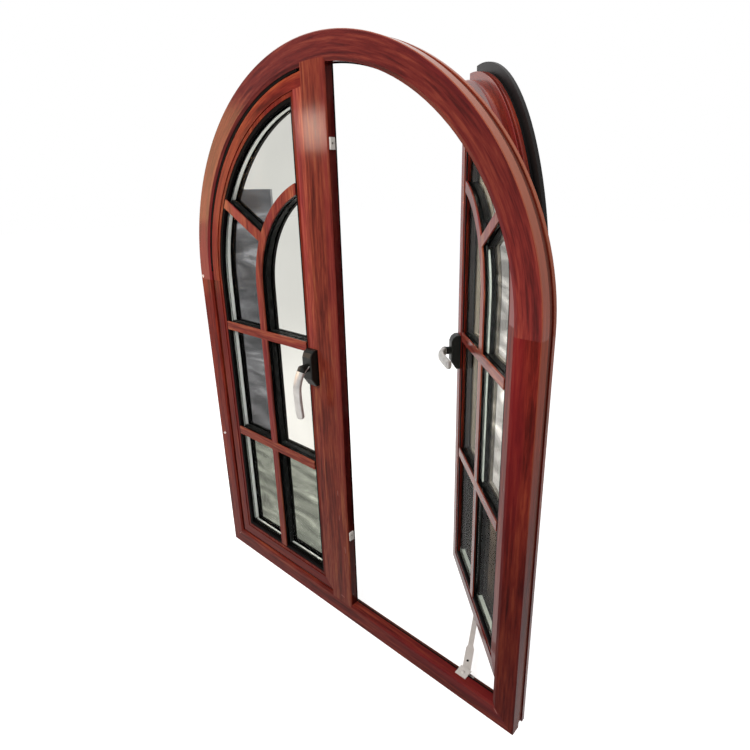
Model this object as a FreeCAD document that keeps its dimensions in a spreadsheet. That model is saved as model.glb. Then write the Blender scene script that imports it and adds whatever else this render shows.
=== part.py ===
import FreeCAD, Part
import math
import os
import Sketcher
from FreeCAD import Placement, Rotation, Vector

# Arched-top double casement window, seen from the room: +X right, +Y outdoors, +Z up.
# The origin is the middle of the sill rail's underside, half way through the room-side shell.

doc = FreeCAD.newDocument("arched_window")
sheet = doc.addObject("Spreadsheet::Sheet", "Sizes")

# Driving dimensions in millimetres and degrees, one sheet row each
SIZES = {
    # Fixed frame
    "window_width": 900.0,
    "spring_height": 750.0,
    "frame_face": 45.0,
    "frame_lip_depth": 18.0,
    "frame_web": 31.0,
    "frame_inner_depth": 22.0,
    "frame_break_depth": 14.0,
    "frame_outer_depth": 10.0,
    "frame_outer_face": 16.0,
    "break_inset": 3.0,
    "edge_bevel": 2.0,
    "lip_bevel_width": 6.0,
    "lip_bevel_depth": 2.5,
    # Centre mullion
    "mullion_face": 64.0,
    "mullion_web": 30.0,
    "mullion_break_depth": 9.0,
    "mullion_outer_depth": 5.0,
    # Casement sash section
    "sash_gap": 4.0,
    "sash_front": 4.0,
    "sash_step": 14.0,
    "sash_step_depth": 20.0,
    "sash_inner_depth": 32.0,
    "sash_bead_seat": 39.0,
    "sash_rebate": 43.0,
    "sash_rebate_depth": 11.5,
    "channel_start": 21.5,
    "channel_width": 4.0,
    "channel_depth": 5.0,
    "rib_width": 2.0,
    "band_depth": 1.5,
    "bead_step": 47.0,
    "bead_width": 52.0,
    "bead_front": 5.5,
    "bead_step_depth": 8.0,
    # Overlapping outer leaf
    "flange_clearance": 3.0,
    "flange_meeting_gap": 4.0,
    "flange_start": 38.0,
    "flange_thickness": 6.0,
    "outer_leg": 53.0,
    "outer_gasket": 2.0,
    # Sealed glass unit
    "glass_edge": 45.0,
    "glass_front": 12.0,
    "glass_pane": 5.0,
    "glass_space": 12.0,
    "spacer_width": 11.0,
    # Glazing bars
    "bar_width": 20.0,
    "inner_bar_thickness": 8.0,
    "outer_bar_thickness": 6.0,
    "lower_bar_height": 368.0,
    "upper_bar_drop": 105.0,
    "fan_bar_angle": 29.0,
    # Open casement
    "open_angle": 41.9,
    "open_shift_x": -18.0,
    "open_shift_y": 40.0,
    # Handles
    "handle_height": 605.0,
    "handle_plate_length": 80.0,
    "handle_plate_width": 24.0,
    "handle_plate_edge": 5.0,
    "handle_plate_dome": 17.0,
    "handle_neck_radius": 9.0,
    "handle_neck_length": 14.0,
    "lever_length": 125.0,
    "lever_width": 18.0,
    "lever_thickness": 12.0,
    "lever_bend_radius": 190.0,
    "lever_hub": 12.0,
    "lever_bevel": 4.0,
    # Keepers on the mullion
    "keeper_length": 20.0,
    "keeper_width": 11.0,
    "keeper_thickness": 3.0,
    "keeper_hole_radius": 2.2,
    "keeper_depth": 9.0,
    "lower_keeper_height": 230.0,
    "upper_keeper_drop": 171.0,
    # Stay that limits the opening
    "stay_pivot_inset": 92.0,
    "stay_rail_reach": 203.0,
    "stay_rail_depth": 6.0,
    "stay_thickness": 3.0,
    "stay_wide": 17.0,
    "stay_wide_length": 62.0,
    "stay_narrow": 11.0,
    "stay_block_length": 34.0,
    # Hinges in the rebate
    "hinge_height": 70.0,
    "hinge_leaf": 3.0,
    "hinge_leaf_width": 14.0,
    "hinge_pin_radius": 4.0,
    "hinge_pin_setback": 7.6,
    "lower_hinge_height": 130.0,
    "upper_hinge_drop": 110.0,
}
for row, (alias, value) in enumerate(SIZES.items(), start=1):
    sheet.set(f"A{row}", alias)
    sheet.set(f"B{row}", str(value))
    sheet.setAlias(f"B{row}", alias)
doc.recompute()


class Size:
    """A number together with the sheet expression that gives it."""

    def __init__(self, value, text):
        self.value = value
        self.text = text

    def _join(self, other, sign, result):
        return Size(result, f"({self.text} {sign} {as_size(other).text})")

    def __add__(self, other):
        return self._join(other, "+", self.value + as_size(other).value)

    def __sub__(self, other):
        return self._join(other, "-", self.value - as_size(other).value)

    def __mul__(self, other):
        return self._join(other, "*", self.value * as_size(other).value)

    def __truediv__(self, other):
        return self._join(other, "/", self.value / as_size(other).value)

    def __neg__(self):
        return Size(-self.value, f"(-1 * {self.text})")


def as_size(number):
    return number if isinstance(number, Size) else Size(float(number), f"{number}")


def size(alias):
    return Size(float(sheet.get(alias)), f"Sizes.{alias}")


def root(number):
    return Size(math.sqrt(number.value), f"sqrt({number.text})")


def turn(function, alias):
    angle = math.radians(float(sheet.get(alias)))
    return Size(getattr(math, function)(angle), f"{function}(Sizes.{alias} * 1 deg)")


def bind(thing, path, amount):
    thing.setExpression(path, as_size(amount).text)


LEFT, RIGHT = -1, 1
SIDE_NAMES = {LEFT: "left", RIGHT: "right"}

half_width = size("window_width") / 2
spring = size("spring_height")
frame_depth = size("frame_inner_depth") + size("frame_break_depth") + size("frame_outer_depth")
break_back = size("frame_inner_depth") + size("frame_break_depth")
sash_edge = size("frame_web") + size("sash_gap")
sash_bottom = sash_edge
sash_radius = half_width - sash_edge
lock_edge = size("mullion_web") / 2 + size("sash_gap")
glass_back = size("glass_front") + size("glass_pane") * 2 + size("glass_space")
flange_lap = sash_edge - size("frame_outer_face") - size("flange_clearance")
flange_back = size("flange_start") + size("flange_thickness")
bar_height = {"lower": size("lower_bar_height"), "upper": spring - size("upper_bar_drop")}
crown = spring + half_width
keeper_height = {"lower": size("lower_keeper_height"), "upper": crown - size("upper_keeper_drop")}
hinge_height = {"lower": size("lower_hinge_height"), "upper": spring - size("upper_hinge_drop")}


def behind(depth):
    """Y of a depth that is measured from the room-side face."""
    return as_size(depth) - size("frame_inner_depth") / 2


def plan(section):
    """Section points (across, depth) as points of the plan view."""
    return [(across, behind(depth)) for across, depth in section]


# Sketching and solid helpers

def new_body(label):
    body = doc.addObject("PartDesign::Body", label)
    body.Label = label
    return body


def new_sketch(body, plane, offset=0):
    sketch = body.newObject("Sketcher::SketchObject", f"{body.Name}_sketch")
    origin_plane = [item for item in body.Origin.OriginFeatures if item.Role == plane][0]
    sketch.AttachmentSupport = [(origin_plane, "")]
    sketch.MapMode = "FlatFace"
    bind(sketch, "AttachmentOffset.Base.z", offset)
    return sketch


def fix_point(sketch, line, end, point):
    for kind, amount in zip(("DistanceX", "DistanceY"), point):
        index = sketch.addConstraint(Sketcher.Constraint(kind, line, end, as_size(amount).value))
        bind(sketch, f"Constraints[{index}]", amount)


def draw_polygon(sketch, points):
    """Closed outline of straight lines, each corner held by two sheet-bound distances."""
    vectors = [Vector(as_size(x).value, as_size(y).value, 0) for x, y in points]
    first = sketch.GeometryCount
    count = len(points)
    for index in range(count):
        sketch.addGeometry(Part.LineSegment(vectors[index], vectors[(index + 1) % count]), False)
    for index in range(count):
        following = first + (index + 1) % count
        sketch.addConstraint(Sketcher.Constraint("Coincident", first + index, 2, following, 1))
        fix_point(sketch, first + index, 1, points[index])


def draw_circle(sketch, x, y, radius):
    centre = Vector(as_size(x).value, as_size(y).value, 0)
    circle = sketch.addGeometry(Part.Circle(centre, Vector(0, 0, 1), radius.value), False)
    fix_point(sketch, circle, 3, (x, y))
    index = sketch.addConstraint(Sketcher.Constraint("Radius", circle, radius.value))
    bind(sketch, f"Constraints[{index}]", radius)


def draw_leaf(sketch, side, inset, lock=None):
    """Outline of one leaf, drawn inside the sash edge: sill, lock side, quarter arch, hinge side."""
    radius = sash_radius - inset
    lock = lock or lock_edge + inset
    floor = sash_bottom + inset
    rise = math.sqrt(radius.value ** 2 - lock.value ** 2)
    hinge_foot = Vector(side * radius.value, floor.value, 0)
    lock_foot = Vector(side * lock.value, floor.value, 0)
    lock_head = Vector(side * lock.value, spring.value + rise, 0)
    hinge_head = Vector(side * radius.value, spring.value, 0)
    circle = Part.Circle(Vector(0, spring.value, 0), Vector(0, 0, 1), radius.value)
    lock_angle = math.atan2(rise, side * lock.value)
    hinge_angle = 0.0 if side == RIGHT else math.pi
    angles = sorted((lock_angle, hinge_angle))
    sill_line = sketch.addGeometry(Part.LineSegment(hinge_foot, lock_foot), False)
    lock_line = sketch.addGeometry(Part.LineSegment(lock_foot, lock_head), False)
    arch = sketch.addGeometry(Part.ArcOfCircle(circle, *angles), False)
    hinge_line = sketch.addGeometry(Part.LineSegment(hinge_head, hinge_foot), False)
    arch_lock, arch_hinge = (2, 1) if side == RIGHT else (1, 2)
    for pair in (
        (sill_line, 2, lock_line, 1),
        (lock_line, 2, arch, arch_lock),
        (arch, arch_hinge, hinge_line, 1),
        (hinge_line, 2, sill_line, 1),
    ):
        sketch.addConstraint(Sketcher.Constraint("Coincident", *pair))
    sketch.addConstraint(Sketcher.Constraint("Horizontal", sill_line))
    sketch.addConstraint(Sketcher.Constraint("Vertical", lock_line))
    sketch.addConstraint(Sketcher.Constraint("Vertical", hinge_line))
    fix_point(sketch, arch, 3, (0, spring))
    fix_point(sketch, sill_line, 2, (lock * side, floor))
    index = sketch.addConstraint(Sketcher.Constraint("Radius", arch, radius.value))
    bind(sketch, f"Constraints[{index}]", radius)
    index = sketch.addConstraint(Sketcher.Constraint("DistanceY", hinge_line, 1, spring.value))
    bind(sketch, f"Constraints[{index}]", spring)


def pad(body, sketch, length, midplane=False, backward=False):
    feature = body.newObject("PartDesign::Pad", f"{body.Name}_pad")
    feature.Profile = sketch
    feature.Length = as_size(length).value
    bind(feature, "Length", length)
    feature.Midplane = midplane
    feature.Reversed = backward
    return feature


def cut_through(body, sketch):
    feature = body.newObject("PartDesign::Pocket", f"{body.Name}_pocket")
    feature.Profile = sketch
    feature.Type = 1
    feature.Midplane = True
    return feature


def revolve(body, sketch, degrees, backward=False):
    feature = body.newObject("PartDesign::Revolution", f"{body.Name}_bend")
    feature.Profile = sketch
    feature.ReferenceAxis = (sketch, ["V_Axis"])
    feature.Angle = degrees
    feature.Reversed = backward
    return feature


def slab(body, draw, start, finish):
    """Pad a front-view outline between two depths behind the room-side face."""
    sketch = new_sketch(body, "XZ_Plane", -behind(start))
    draw(sketch)
    return pad(body, sketch, as_size(finish) - start, backward=True)


def turned(section, side, edge):
    """Section points (distance in from an edge, depth) as plan points on one side of the window."""
    return plan([((as_size(edge) - inward) * side, depth) for inward, depth in section])


def trimmed(label, base, tool):
    """The part of one solid that another leaves free, as a coped joint."""
    cut = doc.addObject("Part::Cut", label)
    cut.Label = label
    cut.Base = base
    cut.Tool = tool
    return cut


pieces = []


def keep(piece):
    pieces.append(piece)
    return piece


# Fixed frame: a room-side shell, a thermal break and an outer shell, each with five members

bevel = size("edge_bevel")
lip_bevel = size("frame_face") - size("lip_bevel_width")
outer_face = size("frame_outer_face")
inner_section = [
    (bevel, 0),
    (lip_bevel, 0),
    (size("frame_face"), size("lip_bevel_depth")),
    (size("frame_face"), size("frame_lip_depth")),
    (size("frame_web"), size("frame_lip_depth")),
    (size("frame_web"), size("frame_inner_depth")),
    (0, size("frame_inner_depth")),
    (0, bevel),
]
break_section = [
    (size("break_inset"), size("frame_inner_depth")),
    (size("frame_web"), size("frame_inner_depth")),
    (size("frame_web"), break_back),
    (size("break_inset"), break_back),
]
outer_section = [
    (0, break_back),
    (outer_face, break_back),
    (outer_face, frame_depth - bevel),
    (outer_face - bevel, frame_depth),
    (bevel, frame_depth),
    (0, frame_depth - bevel),
]


def corner_wedge(side, edge, floor, reach, above):
    """Triangle on one side of the 45 degree mitre at a bottom corner."""
    outer = (as_size(edge) * side, floor)
    inner = ((as_size(edge) - reach) * side, as_size(floor) + reach)
    third = (outer[0], inner[1]) if above else (inner[0], outer[1])
    return [outer, inner, third]


def make_jamb(label, section, side, reach):
    body = new_body(label)
    sketch = new_sketch(body, "XY_Plane")
    draw_polygon(sketch, turned(section, side, half_width))
    pad(body, sketch, spring)
    mitre = new_sketch(body, "XZ_Plane")
    draw_polygon(mitre, corner_wedge(side, half_width, 0, reach, above=False))
    cut_through(body, mitre)
    return body


def make_sill(label, section, reach):
    body = new_body(label)
    sketch = new_sketch(body, "YZ_Plane")
    draw_polygon(sketch, [(behind(depth), inward) for inward, depth in section])
    pad(body, sketch, size("window_width"), midplane=True)
    mitre = new_sketch(body, "XZ_Plane")
    for side in (LEFT, RIGHT):
        draw_polygon(mitre, corner_wedge(side, half_width, 0, reach, above=True))
    cut_through(body, mitre)
    return body


def make_head(label, section):
    body = new_body(label)
    sketch = new_sketch(body, "XY_Plane", spring)
    draw_polygon(sketch, turned(section, LEFT, half_width))
    revolve(body, sketch, 180)
    return body


def make_mullion(label, section, head, foot_cut=None):
    """Upright between sill and head, notched over the sill lip and coped to the arch."""
    body = new_body(f"{label}_bar")
    sketch = new_sketch(body, "XY_Plane", size("frame_web"))
    draw_polygon(sketch, plan(section))
    pad(body, sketch, spring + half_width - size("frame_web") * 2 + size("frame_face") / 2)
    if foot_cut:
        notch = new_sketch(body, "YZ_Plane")
        draw_polygon(notch, foot_cut)
        cut_through(body, notch)
    return trimmed(label, body, head)


half_mullion = size("mullion_face") / 2
half_web = size("mullion_web") / 2
mullion_section = [
    (bevel - half_mullion, 0),
    (half_mullion - bevel, 0),
    (half_mullion, bevel),
    (half_mullion, size("frame_lip_depth")),
    (half_web, size("frame_lip_depth")),
    (half_web, size("frame_inner_depth")),
    (-half_web, size("frame_inner_depth")),
    (-half_web, size("frame_lip_depth")),
    (-half_mullion, size("frame_lip_depth")),
    (-half_mullion, bevel),
]
lip_notch = [
    (behind(-bevel), size("frame_web") - bevel),
    (behind(size("frame_lip_depth")), size("frame_web") - bevel),
    (behind(size("frame_lip_depth")), size("frame_face")),
    (behind(size("lip_bevel_depth")), size("frame_face")),
    (behind(0), lip_bevel),
    (behind(-bevel), lip_bevel),
]


def strip_section(half, start, finish):
    return [(-half, start), (half, start), (half, finish), (-half, finish)]


keep(make_sill("sill_rail", inner_section, size("frame_face")))
for side, name in SIDE_NAMES.items():
    keep(make_jamb(f"{name}_jamb", inner_section, side, size("frame_face")))
head = keep(make_head("arched_head", inner_section))
keep(make_mullion("centre_mullion", mullion_section, head, lip_notch))

keep(make_sill("outer_sill", outer_section, outer_face))
for side, name in SIDE_NAMES.items():
    keep(make_jamb(f"{name}_outer_jamb", outer_section, side, outer_face))
keep(make_head("outer_arched_head", outer_section))

break_sill = make_sill("break_sill", break_section, size("frame_web"))
break_jambs = [make_jamb(f"{name}_break_jamb", break_section, side, size("frame_web"))
               for side, name in SIDE_NAMES.items()]
break_head = make_head("break_head", break_section)
break_mullion = new_body("break_mullion")
break_sketch = new_sketch(break_mullion, "XY_Plane", size("frame_web"))
mullion_break_back = size("frame_inner_depth") + size("mullion_break_depth")
break_half = half_web - size("break_inset")
draw_polygon(break_sketch, plan(strip_section(break_half, size("frame_inner_depth"), mullion_break_back)))
pad(break_mullion, break_sketch, spring + half_width - size("frame_web") * 2 + size("break_inset"))
thermal_break = doc.addObject("Part::MultiFuse", "frame_thermal_break")
thermal_break.Shapes = [break_sill, *break_jambs, break_head, break_mullion]
thermal_break.Refine = True
keep(thermal_break)

mullion_back = mullion_break_back + size("mullion_outer_depth")
keep(make_mullion("outer_mullion", strip_section(half_web, mullion_break_back, mullion_back), break_head))

# Casement leaves: extruded wood-grain section, bead, sealed glass and outer leaf

rib = size("rib_width")
channel_end = size("channel_start") + size("channel_width")
band_start = channel_end + rib
band_end = size("sash_inner_depth") - rib
sash_section = [
    (size("sash_step") + bevel, size("sash_front")),
    (size("sash_bead_seat"), size("sash_front")),
    (size("sash_bead_seat"), size("sash_rebate_depth")),
    (size("sash_rebate"), size("sash_rebate_depth")),
    (size("sash_rebate"), size("sash_inner_depth")),
    (0, size("sash_inner_depth")),
    (0, band_end),
    (size("band_depth"), band_end),
    (size("band_depth"), band_start),
    (0, band_start),
    (0, channel_end),
    (size("channel_depth"), channel_end),
    (size("channel_depth"), size("channel_start")),
    (0, size("channel_start")),
    (0, size("sash_step_depth")),
    (size("sash_step"), size("sash_step_depth")),
    (size("sash_step"), size("sash_front") + bevel),
]

cos_open = turn("cos", "open_angle")
sin_open = turn("sin", "open_angle")
corner_x = sash_radius - size("sash_step")
corner_y = behind(size("sash_front"))
open_x = corner_x + size("open_shift_x")
open_y = corner_y + size("open_shift_y")


def swing_open(body):
    """Turn a right-hand leaf piece outwards and set it off by the hinges' throw."""
    body.Placement = Placement(Vector(), Rotation(Vector(0, 0, 1), -SIZES["open_angle"]))
    body.setExpression("Placement.Rotation.Angle", "Sizes.open_angle * -1 deg")
    bind(body, "Placement.Base.x", open_x - (corner_x * cos_open + corner_y * sin_open))
    bind(body, "Placement.Base.y", open_y - (corner_y * cos_open - corner_x * sin_open))
    return body


def leaf_body(label, side):
    body = new_body(label)
    return swing_open(body) if side == RIGHT else body


def make_leaf_members(name, side):
    sash_reach = size("sash_rebate")
    sash_head = leaf_body(f"{name}_sash_head", side)
    sketch = new_sketch(sash_head, "XY_Plane", spring)
    draw_polygon(sketch, turned(sash_section, side, sash_radius))
    revolve(sash_head, sketch, 90, backward=side == RIGHT)
    past_lock = new_sketch(sash_head, "XZ_Plane")
    draw_polygon(past_lock, [
        (-lock_edge, spring),
        (lock_edge, spring),
        (lock_edge, spring + half_width),
        (-lock_edge, spring + half_width),
    ])
    cut_through(sash_head, past_lock)
    lock_step = new_sketch(sash_head, "XY_Plane", spring)
    step_face = lock_edge + size("sash_step")
    draw_polygon(lock_step, plan(strip_section(step_face, 0, size("sash_step_depth"))))
    cut_through(sash_head, lock_step)
    keep(sash_head)

    hinge_stile = leaf_body(f"{name}_hinge_stile", side)
    sketch = new_sketch(hinge_stile, "XY_Plane", sash_bottom)
    draw_polygon(sketch, turned(sash_section, side, sash_radius))
    pad(hinge_stile, sketch, spring - sash_bottom)
    mitre = new_sketch(hinge_stile, "XZ_Plane")
    draw_polygon(mitre, corner_wedge(side, sash_radius, sash_bottom, sash_reach, above=False))
    cut_through(hinge_stile, mitre)
    keep(hinge_stile)

    bottom_rail = leaf_body(f"{name}_bottom_rail", side)
    start = lock_edge if side == RIGHT else -sash_radius
    sketch = new_sketch(bottom_rail, "YZ_Plane", start)
    draw_polygon(sketch, [(behind(depth), sash_bottom + inward) for inward, depth in sash_section])
    pad(bottom_rail, sketch, sash_radius - lock_edge)
    mitre = new_sketch(bottom_rail, "XZ_Plane")
    draw_polygon(mitre, corner_wedge(side, sash_radius, sash_bottom, sash_reach, above=True))
    draw_polygon(mitre, corner_wedge(-side, -lock_edge, sash_bottom, sash_reach, above=True))
    cut_through(bottom_rail, mitre)
    keep(bottom_rail)

    lock_bar = leaf_body(f"{name}_lock_bar", side)
    sketch = new_sketch(lock_bar, "XY_Plane", sash_bottom)
    draw_polygon(sketch, turned(sash_section, -side, -lock_edge))
    cope_radius = sash_radius - (size("sash_step") + size("sash_bead_seat")) / 2
    rise = root(cope_radius * cope_radius - (lock_edge + sash_reach) * (lock_edge + sash_reach))
    pad(lock_bar, sketch, spring + rise - sash_bottom)
    mitre = new_sketch(lock_bar, "XZ_Plane")
    draw_polygon(mitre, corner_wedge(-side, -lock_edge, sash_bottom, sash_reach, above=False))
    cut_through(lock_bar, mitre)
    keep(trimmed(f"{name}_lock_stile", lock_bar, sash_head))


def make_leaf_ring(label, side, layers):
    """Leaf-shaped ring in layers: outer and inner inset, front and back depth, and its own lock line."""
    body = leaf_body(label, side)
    for outer, inner, start, finish, *lock in layers:
        def draw(sketch):
            draw_leaf(sketch, side, as_size(outer), *lock)
            draw_leaf(sketch, side, as_size(inner))
        slab(body, draw, start, finish)
    return keep(body)


def make_leaf_glass(name, side):
    """Two panes with a spacer ring between their edges."""
    edge = size("glass_edge")
    space_front = size("glass_front") + size("glass_pane")
    space_back = space_front + size("glass_space")
    layers = (("inner", size("glass_front"), space_front), ("outer", space_back, glass_back))
    for layer, front, back in layers:
        pane = leaf_body(f"{name}_{layer}_pane", side)
        slab(pane, lambda sketch: draw_leaf(sketch, side, edge), front, back)
        keep(pane)
    spacer_inner = edge + size("spacer_width")
    make_leaf_ring(f"{name}_glass_spacer", side, [(edge, spacer_inner, space_front, space_back)])


def make_grille(label, side, edge, start, finish):
    """Bars of one leaf: an upright that bends into a fan arch, two crossbars and one radial bar."""
    half_bar = size("bar_width") / 2
    lock = lock_edge + edge
    hinge = sash_radius - edge
    foot = sash_bottom + edge
    fan = (lock_edge + sash_radius) / 2

    def bar(name, corners):
        body = leaf_body(name, side)
        slab(body, lambda sketch: draw_polygon(sketch, [(x * side, z) for x, z in corners]), start, finish)
        return body

    upright = bar(f"{label}_upright", [
        (fan - half_bar, foot), (fan + half_bar, foot), (fan + half_bar, spring), (fan - half_bar, spring)])
    bars = [upright]
    for level in ("lower", "upper"):
        middle = bar_height[level]
        bars.append(bar(f"{label}_{level}_bar", [
            (lock, middle - half_bar), (hinge, middle - half_bar),
            (hinge, middle + half_bar), (lock, middle + half_bar)]))

    arch = leaf_body(f"{label}_fan_arch", side)
    sketch = new_sketch(arch, "XY_Plane", spring)
    draw_polygon(sketch, plan([((fan - half_bar) * side, start), ((fan + half_bar) * side, start),
                               ((fan + half_bar) * side, finish), ((fan - half_bar) * side, finish)]))
    revolve(arch, sketch, 90, backward=side == RIGHT)
    past_lock = new_sketch(arch, "XZ_Plane")
    fan_top = spring + fan * 2
    draw_polygon(past_lock, [(-lock, spring), (lock, spring), (lock, fan_top), (-lock, fan_top)])
    cut_through(arch, past_lock)
    bars.append(arch)

    along = (turn("cos", "fan_bar_angle"), turn("sin", "fan_bar_angle"))
    spoke_end = root(hinge * hinge - half_bar * half_bar)

    def spoke_point(reach, sideways):
        return (along[0] * reach - along[1] * sideways, spring + along[1] * reach + along[0] * sideways)

    bars.append(bar(f"{label}_spoke", [
        spoke_point(fan, -half_bar), spoke_point(spoke_end, -half_bar),
        spoke_point(spoke_end, half_bar), spoke_point(fan, half_bar)]))
    grille = doc.addObject("Part::MultiFuse", label)
    grille.Shapes = bars
    grille.Refine = True
    return keep(grille)


for side, name in SIDE_NAMES.items():
    make_leaf_members(name, side)
    make_leaf_ring(f"{name}_glazing_bead", side, [
        (size("sash_bead_seat"), size("bead_width"), size("bead_step_depth"), size("sash_rebate_depth")),
        (size("sash_bead_seat"), size("bead_step"), size("bead_front"), size("bead_step_depth")),
    ])
    make_leaf_glass(name, side)
    bar_front = size("glass_front") - size("inner_bar_thickness")
    bar_back = glass_back + size("outer_bar_thickness")
    make_grille(f"{name}_inner_grille", side, size("bead_width"), bar_front, size("glass_front"))
    make_grille(f"{name}_outer_grille", side, size("outer_leg"), glass_back, bar_back)
    make_leaf_ring(f"{name}_sash_break", side, [
        (size("channel_depth"), size("sash_bead_seat"), size("sash_inner_depth"), size("flange_start")),
    ])
    make_leaf_ring(f"{name}_outer_leaf", side, [
        (size("sash_rebate"), size("outer_leg"), glass_back + size("outer_gasket"), size("flange_start")),
        (-flange_lap, size("outer_leg"), size("flange_start"), flange_back, size("flange_meeting_gap") / 2),
    ])

# Lever handles: a domed base on each lock stile, and a bowed lever on its neck

handle_x = lock_edge + (size("sash_step") + size("sash_bead_seat")) / 2
handle_z = size("handle_height")
dome = size("handle_plate_dome")
half_plate = size("handle_plate_length") / 2
plate_front = size("sash_front") - size("handle_plate_edge") - dome
neck_front = plate_front - size("handle_neck_length")


def make_handle_base(name, side, lever):
    """Domed plate with a round neck that is coped to the lever's back."""
    body = leaf_body(f"{name}_handle_plate", side)
    sketch = new_sketch(body, "YZ_Plane", handle_x * side)
    radius = (half_plate * half_plate + dome * dome) / (dome * 2)
    seat = behind(size("sash_front"))
    edge = behind(size("sash_front") - size("handle_plate_edge"))
    middle = behind(plate_front) + radius
    top, foot = handle_z + half_plate, handle_z - half_plate
    sweep = math.asin(half_plate.value / radius.value)
    circle = Part.Circle(Vector(middle.value, handle_z.value, 0), Vector(0, 0, 1), radius.value)
    outline = ((seat, foot), (seat, top), (edge, top), (edge, foot))
    corners = [Vector(y.value, z.value, 0) for y, z in outline]
    back_line = sketch.addGeometry(Part.LineSegment(corners[0], corners[1]), False)
    top_line = sketch.addGeometry(Part.LineSegment(corners[1], corners[2]), False)
    front_arc = sketch.addGeometry(Part.ArcOfCircle(circle, math.pi - sweep, math.pi + sweep), False)
    foot_line = sketch.addGeometry(Part.LineSegment(corners[3], corners[0]), False)
    for pair in (
        (back_line, 2, top_line, 1),
        (top_line, 2, front_arc, 1),
        (front_arc, 2, foot_line, 1),
        (foot_line, 2, back_line, 1),
    ):
        sketch.addConstraint(Sketcher.Constraint("Coincident", *pair))
    sketch.addConstraint(Sketcher.Constraint("Horizontal", top_line))
    sketch.addConstraint(Sketcher.Constraint("Horizontal", foot_line))
    fix_point(sketch, back_line, 1, (seat, foot))
    fix_point(sketch, back_line, 2, (seat, top))
    fix_point(sketch, front_arc, 3, (middle, handle_z))
    index = sketch.addConstraint(Sketcher.Constraint("Radius", front_arc, radius.value))
    bind(sketch, f"Constraints[{index}]", radius)
    pad(body, sketch, size("handle_plate_width"), midplane=True)
    neck_radius = size("handle_neck_radius")
    neck_end = neck_front - size("lever_thickness") / 2
    slab(body, lambda neck: draw_circle(neck, handle_x * side, handle_z, neck_radius), neck_end,
         size("sash_front") - size("handle_plate_edge"))
    return keep(trimmed(f"{name}_handle_base", body, lever))


def make_lever(name, side, hanging):
    """A bar bent to a long arc, hub over the neck; it hangs down, or lies level when turned."""
    body = leaf_body(f"{name}_handle_lever", side)
    bend = size("lever_bend_radius")
    reach = size("lever_length") / 2 - size("lever_hub")
    sag = bend - root(bend * bend - reach * reach)
    axis_y = behind(neck_front) + bend - sag
    half = size("lever_width") / 2
    if hanging:
        sketch = new_sketch(body, "XY_Plane", handle_z - reach)
        bind(sketch, "AttachmentOffset.Base.x", handle_x * side)
        bind(sketch, "AttachmentOffset.Base.y", axis_y)
        corners = [(-half, -bend), (half, -bend), (half, -bend - size("lever_thickness")),
                   (-half, -bend - size("lever_thickness"))]
    else:
        sketch = new_sketch(body, "YZ_Plane", (handle_x + reach) * side)
        bind(sketch, "AttachmentOffset.Base.x", axis_y)
        bind(sketch, "AttachmentOffset.Base.y", handle_z)
        corners = [(-bend, -half), (-bend, half), (-bend - size("lever_thickness"), half),
                   (-bend - size("lever_thickness"), -half)]
    draw_polygon(sketch, corners)
    arc = body.newObject("PartDesign::Revolution", f"{body.Name}_bend")
    arc.Profile = sketch
    arc.ReferenceAxis = (sketch, ["H_Axis" if hanging else "V_Axis"])
    arc.Midplane = True
    arc.setExpression("Angle", "Sizes.lever_length / Sizes.lever_bend_radius * 1 rad")
    doc.recompute()
    bevels = body.newObject("PartDesign::Chamfer", f"{body.Name}_bevels")
    long_edges = [index for index, edge in enumerate(arc.Shape.Edges, start=1) if edge.Length > reach.value]
    bevels.Base = (arc, [f"Edge{index}" for index in long_edges])
    bind(bevels, "Size", size("lever_bevel"))
    return keep(body)


for side, name in SIDE_NAMES.items():
    lever = make_lever(name, side, hanging=side == LEFT)
    make_handle_base(name, side, lever)

# Keepers: drilled plates on the mullion's open reveal

for level in ("lower", "upper"):
    keeper = new_body(f"{level}_keeper")
    plate = new_sketch(keeper, "YZ_Plane", half_mullion)
    across = size("keeper_width") / 2
    along = size("keeper_length") / 2
    middle_y = behind(size("keeper_depth"))
    middle_z = keeper_height[level]
    draw_polygon(plate, [(middle_y - across, middle_z - along), (middle_y + across, middle_z - along),
                         (middle_y + across, middle_z + along), (middle_y - across, middle_z + along)])
    draw_circle(plate, middle_y, middle_z, size("keeper_hole_radius"))
    pad(keeper, plate, size("keeper_thickness"))
    keep(keeper)

# Stay: a block on the sill, and an arm that runs under the open leaf's bottom rail

pivot_x = half_width - size("frame_web") - size("stay_pivot_inset")
pivot_y = behind(size("frame_inner_depth") + size("frame_break_depth") / 2)
sill_top = size("frame_web")
arm_floor = sash_bottom - size("stay_thickness")
rail_run = size("stay_rail_reach")
rail_depth = size("sash_step_depth") - size("sash_front") + size("stay_rail_depth")
arm_end_x = open_x - rail_run * cos_open + rail_depth * sin_open
arm_end_y = open_y + rail_run * sin_open + rail_depth * cos_open
run_x = arm_end_x - pivot_x
run_y = arm_end_y - pivot_y
arm_length = root(run_x * run_x + run_y * run_y)

block = new_body("stay_block")
sketch = new_sketch(block, "XY_Plane", sill_top)
half_long = size("stay_block_length") / 2
half_wide = size("frame_break_depth") / 2
draw_polygon(sketch, [
    (pivot_x - half_long, pivot_y - half_wide),
    (pivot_x + half_long, pivot_y - half_wide),
    (pivot_x + half_long, pivot_y + half_wide),
    (pivot_x - half_long, pivot_y + half_wide),
])
pad(block, sketch, arm_floor - sill_top)
keep(block)

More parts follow.
